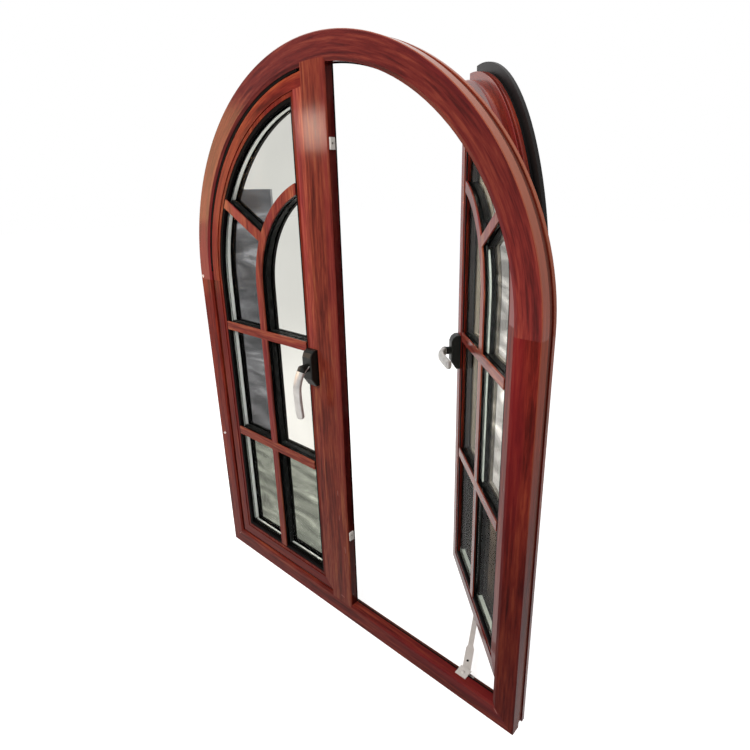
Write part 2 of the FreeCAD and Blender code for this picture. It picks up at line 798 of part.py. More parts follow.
arm = new_body("stay_arm")
sketch = new_sketch(arm, "XY_Plane", arm_floor)
wide = size("stay_wide") / 2
narrow = size("stay_narrow") / 2
draw_polygon(sketch, [
    (-narrow, -wide),
    (size("stay_wide_length"), -wide),
    (size("stay_wide_length") + wide, -narrow),
    (arm_length + narrow, -narrow),
    (arm_length + narrow, narrow),
    (size("stay_wide_length") + wide, narrow),
    (size("stay_wide_length"), wide),
    (-narrow, wide),
])
pad(arm, sketch, size("stay_thickness"))
arm.Placement = Placement(Vector(), Rotation(Vector(0, 0, 1), 90))
bind(arm, "Placement.Base.x", pivot_x)
bind(arm, "Placement.Base.y", pivot_y)
arm.setExpression("Placement.Rotation.Angle", f"atan2({run_y.text}; {run_x.text})")
keep(arm)

# Hinges: a packed leaf behind the closed sash; on the open one a cranked leaf, pin and sash plate

web_x = half_width - size("frame_web")
leaf_front = size("sash_step_depth")
leaf_back = leaf_front + size("hinge_leaf_width")
thickness = size("hinge_leaf")
plate_front_depth = size("sash_step_depth") - thickness
pin_x = sash_radius - size("hinge_pin_setback")
pin_y = behind(plate_front_depth - size("hinge_pin_radius") / 2)
open_pin_x = open_x + (pin_x - corner_x) * cos_open + (pin_y - corner_y) * sin_open
open_pin_y = open_y - (pin_x - corner_x) * sin_open + (pin_y - corner_y) * cos_open


def make_closed_hinge(label, floor):
    hinge = new_body(label)
    sketch = new_sketch(hinge, "XY_Plane", floor)
    draw_polygon(sketch, plan([(-web_x, leaf_front), (size("sash_gap") - web_x, leaf_front),
                               (size("sash_gap") - web_x, leaf_back), (-web_x, leaf_back)]))
    pad(hinge, sketch, size("hinge_height"))
    return keep(hinge)


def make_open_hinge(label, floor):
    crank = new_body(f"{label}_crank")
    sketch = new_sketch(crank, "XY_Plane", floor)
    draw_polygon(sketch, [
        (web_x - thickness, behind(leaf_front)),
        (web_x, behind(leaf_front)),
        (web_x, behind(leaf_back)),
        (open_pin_x + thickness / 2, open_pin_y + thickness / 2),
        (open_pin_x - thickness / 2, open_pin_y - thickness / 2),
        (web_x - thickness, behind(leaf_back - thickness)),
    ])
    pad(crank, sketch, size("hinge_height"))
    plate = leaf_body(f"{label}_plate", RIGHT)
    sketch = new_sketch(plate, "XY_Plane", floor)
    draw_polygon(sketch, plan([(corner_x, plate_front_depth), (sash_radius, plate_front_depth),
                               (sash_radius, leaf_front), (corner_x, leaf_front)]))
    pad(plate, sketch, size("hinge_height"))
    sketch = new_sketch(plate, "XY_Plane", floor)
    draw_circle(sketch, pin_x, pin_y, size("hinge_pin_radius"))
    pad(plate, sketch, size("hinge_height"))
    hinge = doc.addObject("Part::MultiFuse", label)
    hinge.Shapes = [crank, plate]
    hinge.Refine = True
    return keep(hinge)


for level, middle in hinge_height.items():
    floor = middle - size("hinge_height") / 2
    make_closed_hinge(f"left_{level}_hinge", floor)
    make_open_hinge(f"right_{level}_hinge", floor)

# Check every object, then write one file for each piece

doc.recompute()
for thing in doc.Objects:
    if "Invalid" in thing.State or "Error" in thing.State:
        raise RuntimeError(f"{thing.Label} failed: {thing.State}")
for piece in pieces:
    if piece.Shape.isNull() or not piece.Shape.isValid():
        raise RuntimeError(f"{piece.Label} has no valid shape")

os.makedirs("parts", exist_ok=True)
for piece in pieces:
    piece.Shape.exportStep(f"parts/{piece.Label}.step")
    print(piece.Label, round(piece.Shape.Volume), len(piece.Shape.Solids))
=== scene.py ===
import math
import random

import bmesh
import bpy
from mathutils import Matrix, Vector


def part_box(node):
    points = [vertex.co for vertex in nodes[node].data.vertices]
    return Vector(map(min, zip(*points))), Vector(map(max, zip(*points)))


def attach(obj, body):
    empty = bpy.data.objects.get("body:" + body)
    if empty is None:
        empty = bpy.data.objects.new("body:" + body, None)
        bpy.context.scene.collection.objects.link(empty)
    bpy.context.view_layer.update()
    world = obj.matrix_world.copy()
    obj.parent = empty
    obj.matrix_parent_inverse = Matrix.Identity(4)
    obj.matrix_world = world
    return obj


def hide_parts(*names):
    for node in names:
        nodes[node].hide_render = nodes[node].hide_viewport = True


# The window as it is packed: every solid at its real place, in metres, +X right seen from the
# room, +Y outdoors, +Z up.
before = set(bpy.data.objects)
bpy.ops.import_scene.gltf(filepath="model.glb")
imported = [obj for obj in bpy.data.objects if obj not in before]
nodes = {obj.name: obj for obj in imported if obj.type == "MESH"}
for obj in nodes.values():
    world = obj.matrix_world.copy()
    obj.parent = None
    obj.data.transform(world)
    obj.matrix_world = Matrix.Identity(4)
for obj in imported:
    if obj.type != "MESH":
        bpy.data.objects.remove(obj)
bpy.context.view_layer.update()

# Fixed frame: two jambs, sill, half-round head and mullion, each a room-side and an outdoor
# shell. They are aluminium extrusions with a satin mahogany transfer, mitred and coped
# together, so the grain follows each member: up the jambs, along the sill, round the arch.
SPRING_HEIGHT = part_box("arched_head")[0].z
HEAD_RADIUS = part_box("arched_head")[1].x
FRAME_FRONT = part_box("left_jamb")[0].y
GRAIN_STRETCH = 0.065
WANDER_SCALE = 11.0
WANDER_REACH = 0.022
FIGURE_SCALE = 62.0
STREAK_SCALE = 230.0
FIBRE_SCALE = 900.0
HUE_SCALE = 16.0


def linear(red, green, blue):
    """A colour given in screen values from 0 to 255, as the shader takes it."""
    def channel(value):
        share = value / 255.0
        return share / 12.92 if share <= 0.04045 else ((share + 0.055) / 1.055) ** 2.4
    return (channel(red), channel(green), channel(blue), 1.0)


def start_material(name):
    material = bpy.data.materials.new(name)
    material.use_nodes = True
    tree = material.node_tree
    return material, tree, tree.nodes["Principled BSDF"]


def add_node(tree, kind, inputs=None, **settings):
    node = tree.nodes.new(kind)
    for key, value in settings.items():
        setattr(node, key, value)
    for socket, value in (inputs or {}).items():
        if isinstance(value, bpy.types.NodeSocket):
            tree.links.new(value, node.inputs[socket])
        else:
            node.inputs[socket].default_value = value
    return node


def calculate(tree, operation, first, second=0.0):
    return add_node(tree, "ShaderNodeMath", {0: first, 1: second}, operation=operation).outputs[0]


def cloudy(tree, place, scale, detail=3.0, distortion=0.0):
    noise = add_node(tree, "ShaderNodeTexNoise", {
        "Vector": place, "Scale": scale, "Detail": detail, "Roughness": 0.55, "Distortion": distortion})
    return noise.outputs["Fac"]


def colour_ramp(tree, factor, stops):
    ramp = add_node(tree, "ShaderNodeValToRGB", {"Fac": factor})
    elements = ramp.color_ramp.elements
    while len(elements) < len(stops):
        elements.new(0.5)
    for element, (position, colour) in zip(elements, stops):
        element.position = position
        element.color = colour
    return ramp.outputs["Color"]


def grey(level):
    return (level, level, level, 1.0)


def mix_colours(tree, factor, first, second, blend="MIX"):
    mix = add_node(tree, "ShaderNodeMix", data_type="RGBA", blend_type=blend)
    for socket, value in ((0, factor), (6, first), (7, second)):
        if isinstance(value, bpy.types.NodeSocket):
            tree.links.new(value, mix.inputs[socket])
        else:
            mix.inputs[socket].default_value = value
    return mix.outputs[2]


def surface_point(tree, leaf_turn=None):
    """Where the surface lies in the closed window; an open leaf is turned back first."""
    point = add_node(tree, "ShaderNodeTexCoord").outputs["Object"]
    if leaf_turn is None:
        return point
    back = leaf_turn.inverted()
    return add_node(tree, "ShaderNodeMapping", {
        "Vector": point,
        "Location": back.to_translation(),
        "Rotation": back.to_euler(),
    }).outputs["Vector"]


LEVEL_BARS = (0.368, 0.645)
BAR_HALF = 0.0105


def blend_numbers(tree, share, first, second):
    mix = add_node(tree, "ShaderNodeMix", {0: share, 2: first, 3: second}, data_type="FLOAT")
    return mix.outputs[0]


def grain_place(tree, run, offset, leaf_turn=None):
    """Across, into and along the grain of a member: upright, level, round the arch or bars."""
    parts = add_node(tree, "ShaderNodeSeparateXYZ", {"Vector": surface_point(tree, leaf_turn)})
    x, y, z = parts.outputs
    if run == "upright":
        across, along = x, z
    elif run == "level":
        across, along = z, x
    elif run == "bars":
        gaps = [calculate(tree, "ABSOLUTE", calculate(tree, "SUBTRACT", z, height))
                for height in LEVEL_BARS]
        level = calculate(tree, "LESS_THAN", calculate(tree, "MINIMUM", *gaps), BAR_HALF)
        across, along = blend_numbers(tree, level, x, z), blend_numbers(tree, level, z, x)
    else:
        rise = calculate(tree, "SUBTRACT", z, SPRING_HEIGHT)
        squares = [calculate(tree, "MULTIPLY", side, side) for side in (x, rise)]
        across = calculate(tree, "SQRT", calculate(tree, "ADD", *squares))
        along = calculate(tree, "MULTIPLY", calculate(tree, "ARCTAN2", rise, x), HEAD_RADIUS)
    stretched = calculate(tree, "MULTIPLY", calculate(tree, "ADD", along, offset), GRAIN_STRETCH)
    shifted = calculate(tree, "ADD", across, offset)
    place = add_node(tree, "ShaderNodeCombineXYZ", {"X": shifted, "Y": y, "Z": stretched})
    return place.outputs["Vector"]


MAHOGANY = {
    "vein": linear(70, 17, 12),
    "deep": linear(94, 25, 18),
    "red": linear(110, 31, 22),
    "russet": linear(120, 39, 26),
    "warm": linear(140, 55, 34),
    "crimson": linear(112, 23, 25),
}
GRAIN_STOPS = ((0.38, "vein"), (0.45, "deep"), (0.50, "red"), (0.55, "russet"), (0.63, "warm"))
GRAIN_SHARES = (0.44, 0.42, 0.14)
CRIMSON_STOPS = ((0.50, grey(0.0)), (0.66, grey(0.75)))
SATIN_ROUGHNESS = (0.08, 0.18)
FIBRE_BUMP = 0.10
FIBRE_HEIGHT = 0.0004
TAPE_BLACK = linear(13, 12, 12)
PAINTED_RIM_LIGHT = linear(172, 98, 70)
RIM_DEPTH = 0.0012
RIM_LIGHT_SHARE = 0.7
RIM_LIGHT_HEIGHTS = (0.35, 0.95)
PAINTED_REBATE_SHADE = (0.42, 0.30, 0.42, 1.0)
REBATE_SHADE_DEPTH = 0.0025
# Painted light and shade: each run's colour changes with height, after how the light falls on it.
STRAIGHT_SHADING = (0.2, 0.85)
SHADING_HEIGHTS = {
    "upright": STRAIGHT_SHADING, "level": STRAIGHT_SHADING, "bars": STRAIGHT_SHADING, "arch": (0.78, 1.0)}


def mahogany_finish(name, run, offset, tone, height_shading=(0.95, 1.12), gloss=0.09, leaf_turn=None,
                    tape_from=None, rim=None, shade_from_depth=None):
    """Printed mahogany: flames and fibres with painted light and shade in a member's colour and with
    height; painted light in tan on the outer rim, painted shade in a rebate, black where tape backs a
    thin bar."""
    material, tree, shader = start_material(name)
    straight = grain_place(tree, run, offset, leaf_turn)
    wander = calculate(tree, "MULTIPLY", cloudy(tree, straight, WANDER_SCALE, 3.0), WANDER_REACH)
    aside = add_node(tree, "ShaderNodeCombineXYZ", {"X": wander})
    place = add_node(tree, "ShaderNodeVectorMath", {
        0: straight, 1: aside.outputs["Vector"]}, operation="ADD").outputs["Vector"]
    figure = cloudy(tree, place, FIGURE_SCALE, 4.0, 0.6)
    streak = cloudy(tree, place, STREAK_SCALE, 3.0, 0.3)
    fibre = cloudy(tree, place, FIBRE_SCALE, 2.0)
    shares = [calculate(tree, "MULTIPLY", layer, share)
              for layer, share in zip((figure, streak, fibre), GRAIN_SHARES)]
    printed = calculate(tree, "ADD", calculate(tree, "ADD", shares[0], shares[1]), shares[2])
    stain = colour_ramp(tree, printed, [(stop, MAHOGANY[shade]) for stop, shade in GRAIN_STOPS])
    hue = colour_ramp(tree, cloudy(tree, place, HUE_SCALE, 2.0), CRIMSON_STOPS)
    flamed = mix_colours(tree, hue, stain, MAHOGANY["crimson"])
    # The member's tone: its print's colour together with painted light and shade for its place.
    toned = mix_colours(tree, 1.0, flamed, (*tone, 1.0), "MULTIPLY")
    parts = add_node(tree, "ShaderNodeSeparateXYZ", {"Vector": surface_point(tree, leaf_turn)})
    shading_low, shading_high = SHADING_HEIGHTS[run]
    # Painted light and shade with height.
    height_shade = add_node(tree, "ShaderNodeMapRange", {
        "Value": parts.outputs["Z"], "From Min": shading_low, "From Max": shading_high,
        "To Min": height_shading[0], "To Max": height_shading[1]}, interpolation_type="SMOOTHSTEP")
    toned = mix_colours(tree, 1.0, toned, height_shade.outputs["Result"], "MULTIPLY")
    # Painted shade: darker behind the face, in the mullion's rebate.
    if shade_from_depth is not None:
        behind = calculate(tree, "GREATER_THAN", parts.outputs["Y"], shade_from_depth)
        toned = mix_colours(tree, behind, toned, mix_colours(tree, 1.0, toned, PAINTED_REBATE_SHADE, "MULTIPLY"))
    # Painted light: tan on the outer side of the arch and right jamb, more of it higher up.
    if rim is not None:
        rise = calculate(tree, "SUBTRACT", parts.outputs["Z"], SPRING_HEIGHT)
        rise = calculate(tree, "MAXIMUM", rise, 0.0)
        squares = [calculate(tree, "MULTIPLY", side, side) for side in (parts.outputs["X"], rise)]
        radius = calculate(tree, "SQRT", calculate(tree, "ADD", *squares))
        on_rim = calculate(tree, "GREATER_THAN", radius, rim - RIM_DEPTH)
        painted_light_part = add_node(tree, "ShaderNodeMapRange", {
            "Value": parts.outputs["Z"], "From Min": RIM_LIGHT_HEIGHTS[0], "From Max": RIM_LIGHT_HEIGHTS[1],
            "To Max": RIM_LIGHT_SHARE}).outputs["Result"]
        toned = mix_colours(tree, calculate(tree, "MULTIPLY", on_rim, painted_light_part), toned, PAINTED_RIM_LIGHT)
    if tape_from is not None:
        taped = calculate(tree, "GREATER_THAN", parts.outputs["Y"], tape_from)
        toned = mix_colours(tree, taped, toned, TAPE_BLACK)
    tree.links.new(toned, shader.inputs["Base Color"])
    satin = add_node(tree, "ShaderNodeMapRange", {
        "Value": streak, "To Min": SATIN_ROUGHNESS[0], "To Max": SATIN_ROUGHNESS[1]})
    tree.links.new(satin.outputs["Result"], shader.inputs["Roughness"])
    bump = add_node(tree, "ShaderNodeBump", {
        "Height": fibre, "Strength": FIBRE_BUMP, "Distance": FIBRE_HEIGHT})
    tree.links.new(bump.outputs["Normal"], shader.inputs["Normal"])
    shader.inputs["Specular IOR Level"].default_value = gloss
    return material


def dress(node, material):
    """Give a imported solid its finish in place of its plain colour."""
    mesh = nodes[node].data
    mesh.materials.clear()
    mesh.materials.append(material)


# Each member's run of grain, start of the print, tone (its print's colour together with painted light
# and shade for its place), painted shade from low to high, and gloss.
FRAME_MEMBERS = {
    "left_jamb": ("upright", 0.0, (1.35, 1.45, 1.35), (0.92, 1.12), 0.04),
    "right_jamb": ("upright", 2.6, (1.0, 1.15, 1.4), (0.78, 1.68), 0.02),
    "centre_mullion": ("upright", 3.1, (1.35, 2.5, 2.6), (0.95, 1.12), 0.04),
    "sill_rail": ("level", 4.3, (1.20, 1.8, 2.1), (1.0, 1.0), 0.03),
    "arched_head": ("arch", 5.9, (1.02, 1.28, 1.85), (1.62, 1.0)),
    "left_outer_jamb": ("upright", 0.2, (1.0, 1.0, 1.0)),
    "right_outer_jamb": ("upright", 1.9, (1.0, 1.0, 1.0)),
    "outer_mullion": ("upright", 3.3, (0.9, 0.9, 0.9)),
    "outer_sill": ("level", 4.5, (0.9, 0.9, 0.9)),
    "outer_arched_head": ("arch", 6.1, (1.2, 1.6, 1.5), (1.0, 1.0), 0.04),
}
# These members take painted light on their outer side.
RIMMED = ("arched_head", "outer_arched_head", "right_jamb", "right_outer_jamb")
RIMS = {member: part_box(member)[1].x for member in RIMMED}
# The mullion's rebate takes painted shade from this depth back.
PAINTED_SHADE_DEPTHS = {"centre_mullion": FRAME_FRONT + REBATE_SHADE_DEPTH}
for member, look in FRAME_MEMBERS.items():
    dress(member, mahogany_finish(
        f"mahogany_{member}", *look, rim=RIMS.get(member), shade_from_depth=PAINTED_SHADE_DEPTHS.get(member)))

# Insulating strips: glass-filled nylon, rolled into the shells to hold them together and keep
# the cold out. They are brown in the frame, black in the leaves, and dry to the touch.
SPECK_STOPS = (0.42, 0.72)
SPECK_HEIGHT = 0.0003
SHADE_SCALE = 9.0
SHADE_STOPS = ((0.3, grey(0.8)), (0.7, grey(1.0)))


def speckled_finish(name, colour, speck, roughness, speck_scale, bump_strength, gloss=0.25):
    """A dry coat whose fine grain shows as specks and a slight roughness."""
    material, tree, shader = start_material(name)
    point = surface_point(tree)
    grain = cloudy(tree, point, speck_scale)
    specks = colour_ramp(tree, grain, tuple(zip(SPECK_STOPS, (colour, speck))))
    shade = colour_ramp(tree, cloudy(tree, point, SHADE_SCALE, 2.0), SHADE_STOPS)
    tree.links.new(mix_colours(tree, 1.0, specks, shade, "MULTIPLY"), shader.inputs["Base Color"])
    bump = add_node(tree, "ShaderNodeBump", {
        "Height": grain, "Strength": bump_strength, "Distance": SPECK_HEIGHT})
    tree.links.new(bump.outputs["Normal"], shader.inputs["Normal"])
    shader.inputs["Roughness"].default_value = roughness
    shader.inputs["Specular IOR Level"].default_value = gloss
    return material


NYLON = {"roughness": 0.6, "speck_scale": 700.0, "bump_strength": 0.2}
brown_strip = speckled_finish("brown_strip", linear(96, 50, 39), linear(114, 62, 49), **NYLON)
black_strip = speckled_finish("black_strip", linear(16, 15, 16), linear(28, 27, 28), **NYLON)
dress("frame_thermal_break", brown_strip)
for name in ("left", "right"):
    dress(f"{name}_sash_break", black_strip)

# Casement leaves: four mahogany extrusions each, with a snap-in bead round the glass and flat
# bars stuck on the pane. The left leaf is shut; the right one stands open, so its grain is
# laid out as if it were shut and then turned with it.
LEFT, RIGHT = -1, 1
SIDES = {"left": LEFT, "right": RIGHT}


def middle(node):
    low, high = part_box(node)
    return (low + high) / 2


def open_turn():
    """The turn that takes a shut right leaf, the left one mirrored, to where it stands open."""
    shut_low, shut_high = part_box("left_inner_pane")
    open_low, open_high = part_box("right_inner_pane")
    length = shut_high.x - shut_low.x
    thickness = shut_high.y - shut_low.y
    reach_x = open_high.x - open_low.x
    reach_y = open_high.y - open_low.y
    sine = length * reach_y - thickness * reach_x
    cosine = length * reach_x - thickness * reach_y
    turn = Matrix.Rotation(-math.atan2(sine, cosine), 4, "Z")
    shut_middle = middle("left_inner_pane")
    shut_middle.x = -shut_middle.x
    open_middle = middle("right_inner_pane")
    return Matrix.Translation(open_middle) @ turn @ Matrix.Translation(-shut_middle)


leaf_turns = {"left": None, "right": open_turn()}
# The same for a leaf, with the gloss set for each leaf, since the open one faces other light.
LEAF_MEMBERS = {
    "hinge_stile": ("upright", 0.4, (1.15, 1.2, 1.0), (0.95, 1.12)),
    "lock_stile": ("upright", 2.3, (1.9, 3.9, 4.3), (0.76, 1.28)),
    "bottom_rail": ("level", 3.7, (0.98, 1.0, 0.9), (1.0, 1.0)),
    "sash_head": ("arch", 5.2, (1.6, 2.2, 2.0), (1.0, 1.0)),
    "glazing_bead": ("upright", 6.6, (1.15, 1.3, 1.1), (0.95, 1.12)),
    "inner_grille": ("bars", 7.9, (1.75, 3.6, 3.9), (0.95, 1.12)),
}
LEFT_GLOSS = {"hinge_stile": 0.04, "lock_stile": 0.04, "bottom_rail": 0.04,
              "sash_head": 0.03, "glazing_bead": 0.03, "inner_grille": 0.04}
RIGHT_GLOSS = {"hinge_stile": 0.03, "lock_stile": 0.08, "bottom_rail": 0.10,
               "sash_head": 0.16, "glazing_bead": 0.03, "inner_grille": 0.12}
LEAF_GLOSS = {"left": LEFT_GLOSS, "right": RIGHT_GLOSS}
BAR_CAP = 0.003
bar_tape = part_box("left_inner_grille")[0].y + BAR_CAP
for name in SIDES:
    for member, look in LEAF_MEMBERS.items():
        label = f"{name}_{member}"
        tape_from = bar_tape if member == "inner_grille" else None
        dress(label, mahogany_finish(
            f"mahogany_{label}", *look, LEAF_GLOSS[name][member], leaf_turns[name], tape_from))

# Outer ring and outer bars of each leaf: charcoal powder coat, with the fine dry grain of baked
# powder. The ring laps over the frame outdoors, and the bars lie on the outer pane; on the right
# leaf they are bedded in pale sealant, which shows along their sides.
CHARCOAL = {"colour": linear(25, 23, 23), "speck": linear(42, 39, 39), "roughness": 0.42,
            "speck_scale": 900.0, "bump_strength": 0.25, "gloss": 0.12}
SEALANT = linear(226, 223, 216)
SEALANT_SHORT = 0.0008
SEALANT_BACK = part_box("left_outer_grille")[1].y - SEALANT_SHORT
charcoal_coat = speckled_finish("charcoal_coat", **CHARCOAL)


def sealed_coat(name, leaf_turn):
    """The charcoal coat with pale sealant behind its outdoor face."""
    material = speckled_finish(name, **CHARCOAL)
    tree = material.node_tree
    coat = tree.nodes["Principled BSDF"].inputs["Base Color"]
    parts = add_node(tree, "ShaderNodeSeparateXYZ", {"Vector": surface_point(tree, leaf_turn)})
    sealed = calculate(tree, "LESS_THAN", parts.outputs["Y"], SEALANT_BACK)
    tree.links.new(mix_colours(tree, sealed, coat.links[0].from_socket, SEALANT), coat)
    return material


dress("left_outer_grille", charcoal_coat)
dress("right_outer_grille", sealed_coat("sealed_coat", leaf_turns["right"]))
for name in SIDES:
    dress(f"{name}_outer_leaf", charcoal_coat)

# Weather seals: black rubber strips that run right round. One lies behind the frame's lip, one
# closes the gap between the lip and the shut leaf. Round the head a thin black crescent of the
# same rubber on the leaf's face is a painted shadow, in the gap under the frame's head.
SASH_RADIUS = -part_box("left_hinge_stile")[0].x
SASH_LOCK = -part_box("left_lock_stile")[1].x
SASH_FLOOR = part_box("left_bottom_rail")[0].z
SASH_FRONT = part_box("left_lock_stile")[0].y
LIP_OVERLAP = 0.014
LIP_BACK = SASH_FRONT + LIP_OVERLAP
LIP_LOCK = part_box("centre_mullion")[1].x
LIP_INSET = 0.010
FACE_INSET = 0.014
ARCH_STEPS = 56
rubber = speckled_finish("seal_rubber", linear(11, 9, 9), linear(20, 17, 17), roughness=0.7,
                         speck_scale=1200.0, bump_strength=0.15, gloss=0.04)


def leaf_outline(side, inset, lock=None):
    """Points (x, z) round one shut leaf, a distance inside its edge, from the lock side's foot."""
    radius = SASH_RADIUS - inset
    lock = SASH_LOCK + inset if lock is None else lock
    floor = SASH_FLOOR + inset
    top = math.acos(lock / radius)
    points = [(lock, floor)]
    for step in range(ARCH_STEPS + 1):
        angle = top * (1 - step / ARCH_STEPS)
        points.append((radius * math.cos(angle), SPRING_HEIGHT + radius * math.sin(angle)))
    points.append((radius, floor))
    return [(x * side, z) for x, z in points]


def add_piece(label, shape, material, turn=None):
    """Make a finished mesh into a piece of the window that rides on it."""
    if turn is not None:
        bmesh.ops.transform(shape, matrix=turn, verts=shape.verts)
    bmesh.ops.recalc_face_normals(shape, faces=shape.faces)
    mesh = bpy.data.meshes.new(label)
    shape.to_mesh(mesh)
    shape.free()
    mesh.materials.append(material)
    piece = bpy.data.objects.new(label, mesh)
    bpy.context.collection.objects.link(piece)
    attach(piece, "root")
    return piece


def join_loops(shape, loops, closed=True):
    """Faces between each line of points and the next; closed lines meet their own start."""
    count = len(loops[0])
    for here, there in zip(loops, loops[1:] + loops[:1]):
        for index in range(count if closed else count - 1):
            after = (index + 1) % count
            shape.faces.new((here[index], here[after], there[after], there[index]))


def strip_round(label, side, section, material, turn=None, locks=None):
    """A closed strip whose section (inset, depth) runs right round a leaf, mitred at its corners."""
    shape = bmesh.new()
    loops = []
    for index, (inset, y) in enumerate(section):
        outline = leaf_outline(side, inset, locks[index] if locks else None)
        loops.append([shape.verts.new((x, y, z)) for x, z in outline])
    join_loops(shape, loops)
    return add_piece(label, shape, material, turn)


SEAL_REACH = 0.0015
SEAL_THICK = 0.002
SEAL_FOOT = 0.006
for name, side in SIDES.items():
    outer, inner = LIP_INSET - SEAL_FOOT, LIP_INSET + SEAL_REACH
    lock_outer, lock_inner = LIP_LOCK - SEAL_FOOT, LIP_LOCK + SEAL_REACH / 2
    strip_round(f"{name}_lip_seal", side, [
        (outer, LIP_BACK), (inner, LIP_BACK),
        (inner, LIP_BACK + SEAL_THICK), (outer, LIP_BACK + SEAL_THICK),
    ], rubber, locks=[lock_outer, lock_inner, lock_inner, lock_outer])

GAP_SEAL_SUNK = 0.003
GAP_SEAL_WIDTH = 0.001
gap_front = SASH_FRONT + GAP_SEAL_SUNK
gap_lock = LIP_LOCK + GAP_SEAL_WIDTH
strip_round("left_gap_seal", LEFT, [
    (LIP_INSET, gap_front), (FACE_INSET, gap_front), (FACE_INSET, LIP_BACK), (LIP_INSET, LIP_BACK),
], rubber, locks=[LIP_LOCK, gap_lock, gap_lock, LIP_LOCK])

# Painted shadow: a black crescent laid on the leaf's face, widest halfway round the arch.
CRESCENT_WIDTH = 0.0030
CRESCENT_THICK = 0.0006
CRESCENT_START = math.radians(3.0)
CRESCENT_END = math.radians(84.0)
CRESCENT_SWELL = 0.8
CRESCENT_ROOT = 0.004
shape = bmesh.new()
lip_radius = SASH_RADIUS - LIP_INSET
face_radius = SASH_RADIUS - FACE_INSET
edges = [[], [], [], []]
for step in range(ARCH_STEPS + 1):
    share = step / ARCH_STEPS
    angle = CRESCENT_START + (CRESCENT_END - CRESCENT_START) * share
    inner_radius = face_radius - CRESCENT_WIDTH * math.sin(math.pi * share) ** CRESCENT_SWELL
    corners = ((lip_radius, SASH_FRONT - CRESCENT_THICK), (inner_radius, SASH_FRONT - CRESCENT_THICK),
               (inner_radius, SASH_FRONT), (lip_radius, SASH_FRONT + CRESCENT_ROOT))
    for line, (radius, y) in zip(edges, corners):
        place = (-radius * math.cos(angle), y, SPRING_HEIGHT + radius * math.sin(angle))
        line.append(shape.verts.new(place))
join_loops(shape, edges, closed=False)
for end in (0, -1):
    shape.faces.new([line[end] for line in edges])
add_piece("left_head_painted_shadow", shape, rubber)

# Sealed glass units: two panes held apart by an aluminium bar filled with drying grains, sealed
# with black butyl and bedded in black rubber, or outdoors on the right leaf in pale sealant. Real
# panes are clear: the tint of each outer pane, in steps at the bars and with streaks, is a painted
# reflection.
GLASS_RADIUS = -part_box("left_inner_pane")[0].x
GLASS_INSET = SASH_RADIUS - GLASS_RADIUS
GLASS_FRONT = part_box("left_inner_pane")[0].y
SPACE_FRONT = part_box("left_glass_spacer")[0].y
SPACE_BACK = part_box("left_glass_spacer")[1].y
GLASS_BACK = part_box("left_outer_pane")[1].y
UPRIGHT_BAR = (SASH_RADIUS + SASH_LOCK) / 2
SPOKE_SLOPE = math.tan(math.radians(29.0))
FAN_REFLECTION_HEIGHTS = (0.86, 0.955)
FAN_REFLECTION_FROM = 0.182
PAINTED_REFLECTION_TINTS = {
    "left": {"pale": linear(222, 219, 214), "dark": linear(108, 107, 109), "mid": linear(136, 138, 128)},
    "right": {"pale": linear(196, 188, 178), "dark": linear(200, 195, 190), "mid": linear(68, 58, 49)},
}
CLEAR_TINT = linear(246, 249, 247)
GLASS_INDEX = {"left": 1.025, "right": 1.02}
GLASS_ROUGHNESS = 0.02
REFLECTION_STREAK_STRETCH = (3.0, 1.0, 14.0)
REFLECTION_STREAK_LEAN = (0.0, 0.35, 0.0)
REFLECTION_STREAK_SCALE = 1.6
REFLECTION_STREAK_STOPS = ((0.38, grey(0.48)), (0.50, grey(0.86)), (0.58, grey(1.12)), (0.66, grey(2.1)))
DUST_SCALE = 4.0
DUST_STOPS = ((0.35, grey(0.94)), (0.65, grey(1.05)))


def finish_glass(material, tree, shader, tint, index):
    """Let light through a pane in its tint, and lamps through it without bending."""
    shader.inputs["Transmission Weight"].default_value = 1.0
    shader.inputs["Roughness"].default_value = GLASS_ROUGHNESS
    shader.inputs["IOR"].default_value = index
    clear = add_node(tree, "ShaderNodeBsdfTransparent", {"Color": tint})
    lamps = add_node(tree, "ShaderNodeLightPath").outputs["Is Shadow Ray"]
    passing = add_node(tree, "ShaderNodeMixShader", {
        0: lamps, 1: shader.outputs["BSDF"], 2: clear.outputs["BSDF"]})
    tree.links.new(passing.outputs["Shader"], tree.nodes["Material Output"].inputs["Surface"])
    return material


def clear_glass(name, index):
    material, tree, shader = start_material(name)
    shader.inputs["Base Color"].default_value = CLEAR_TINT
    return finish_glass(material, tree, shader, CLEAR_TINT, index)


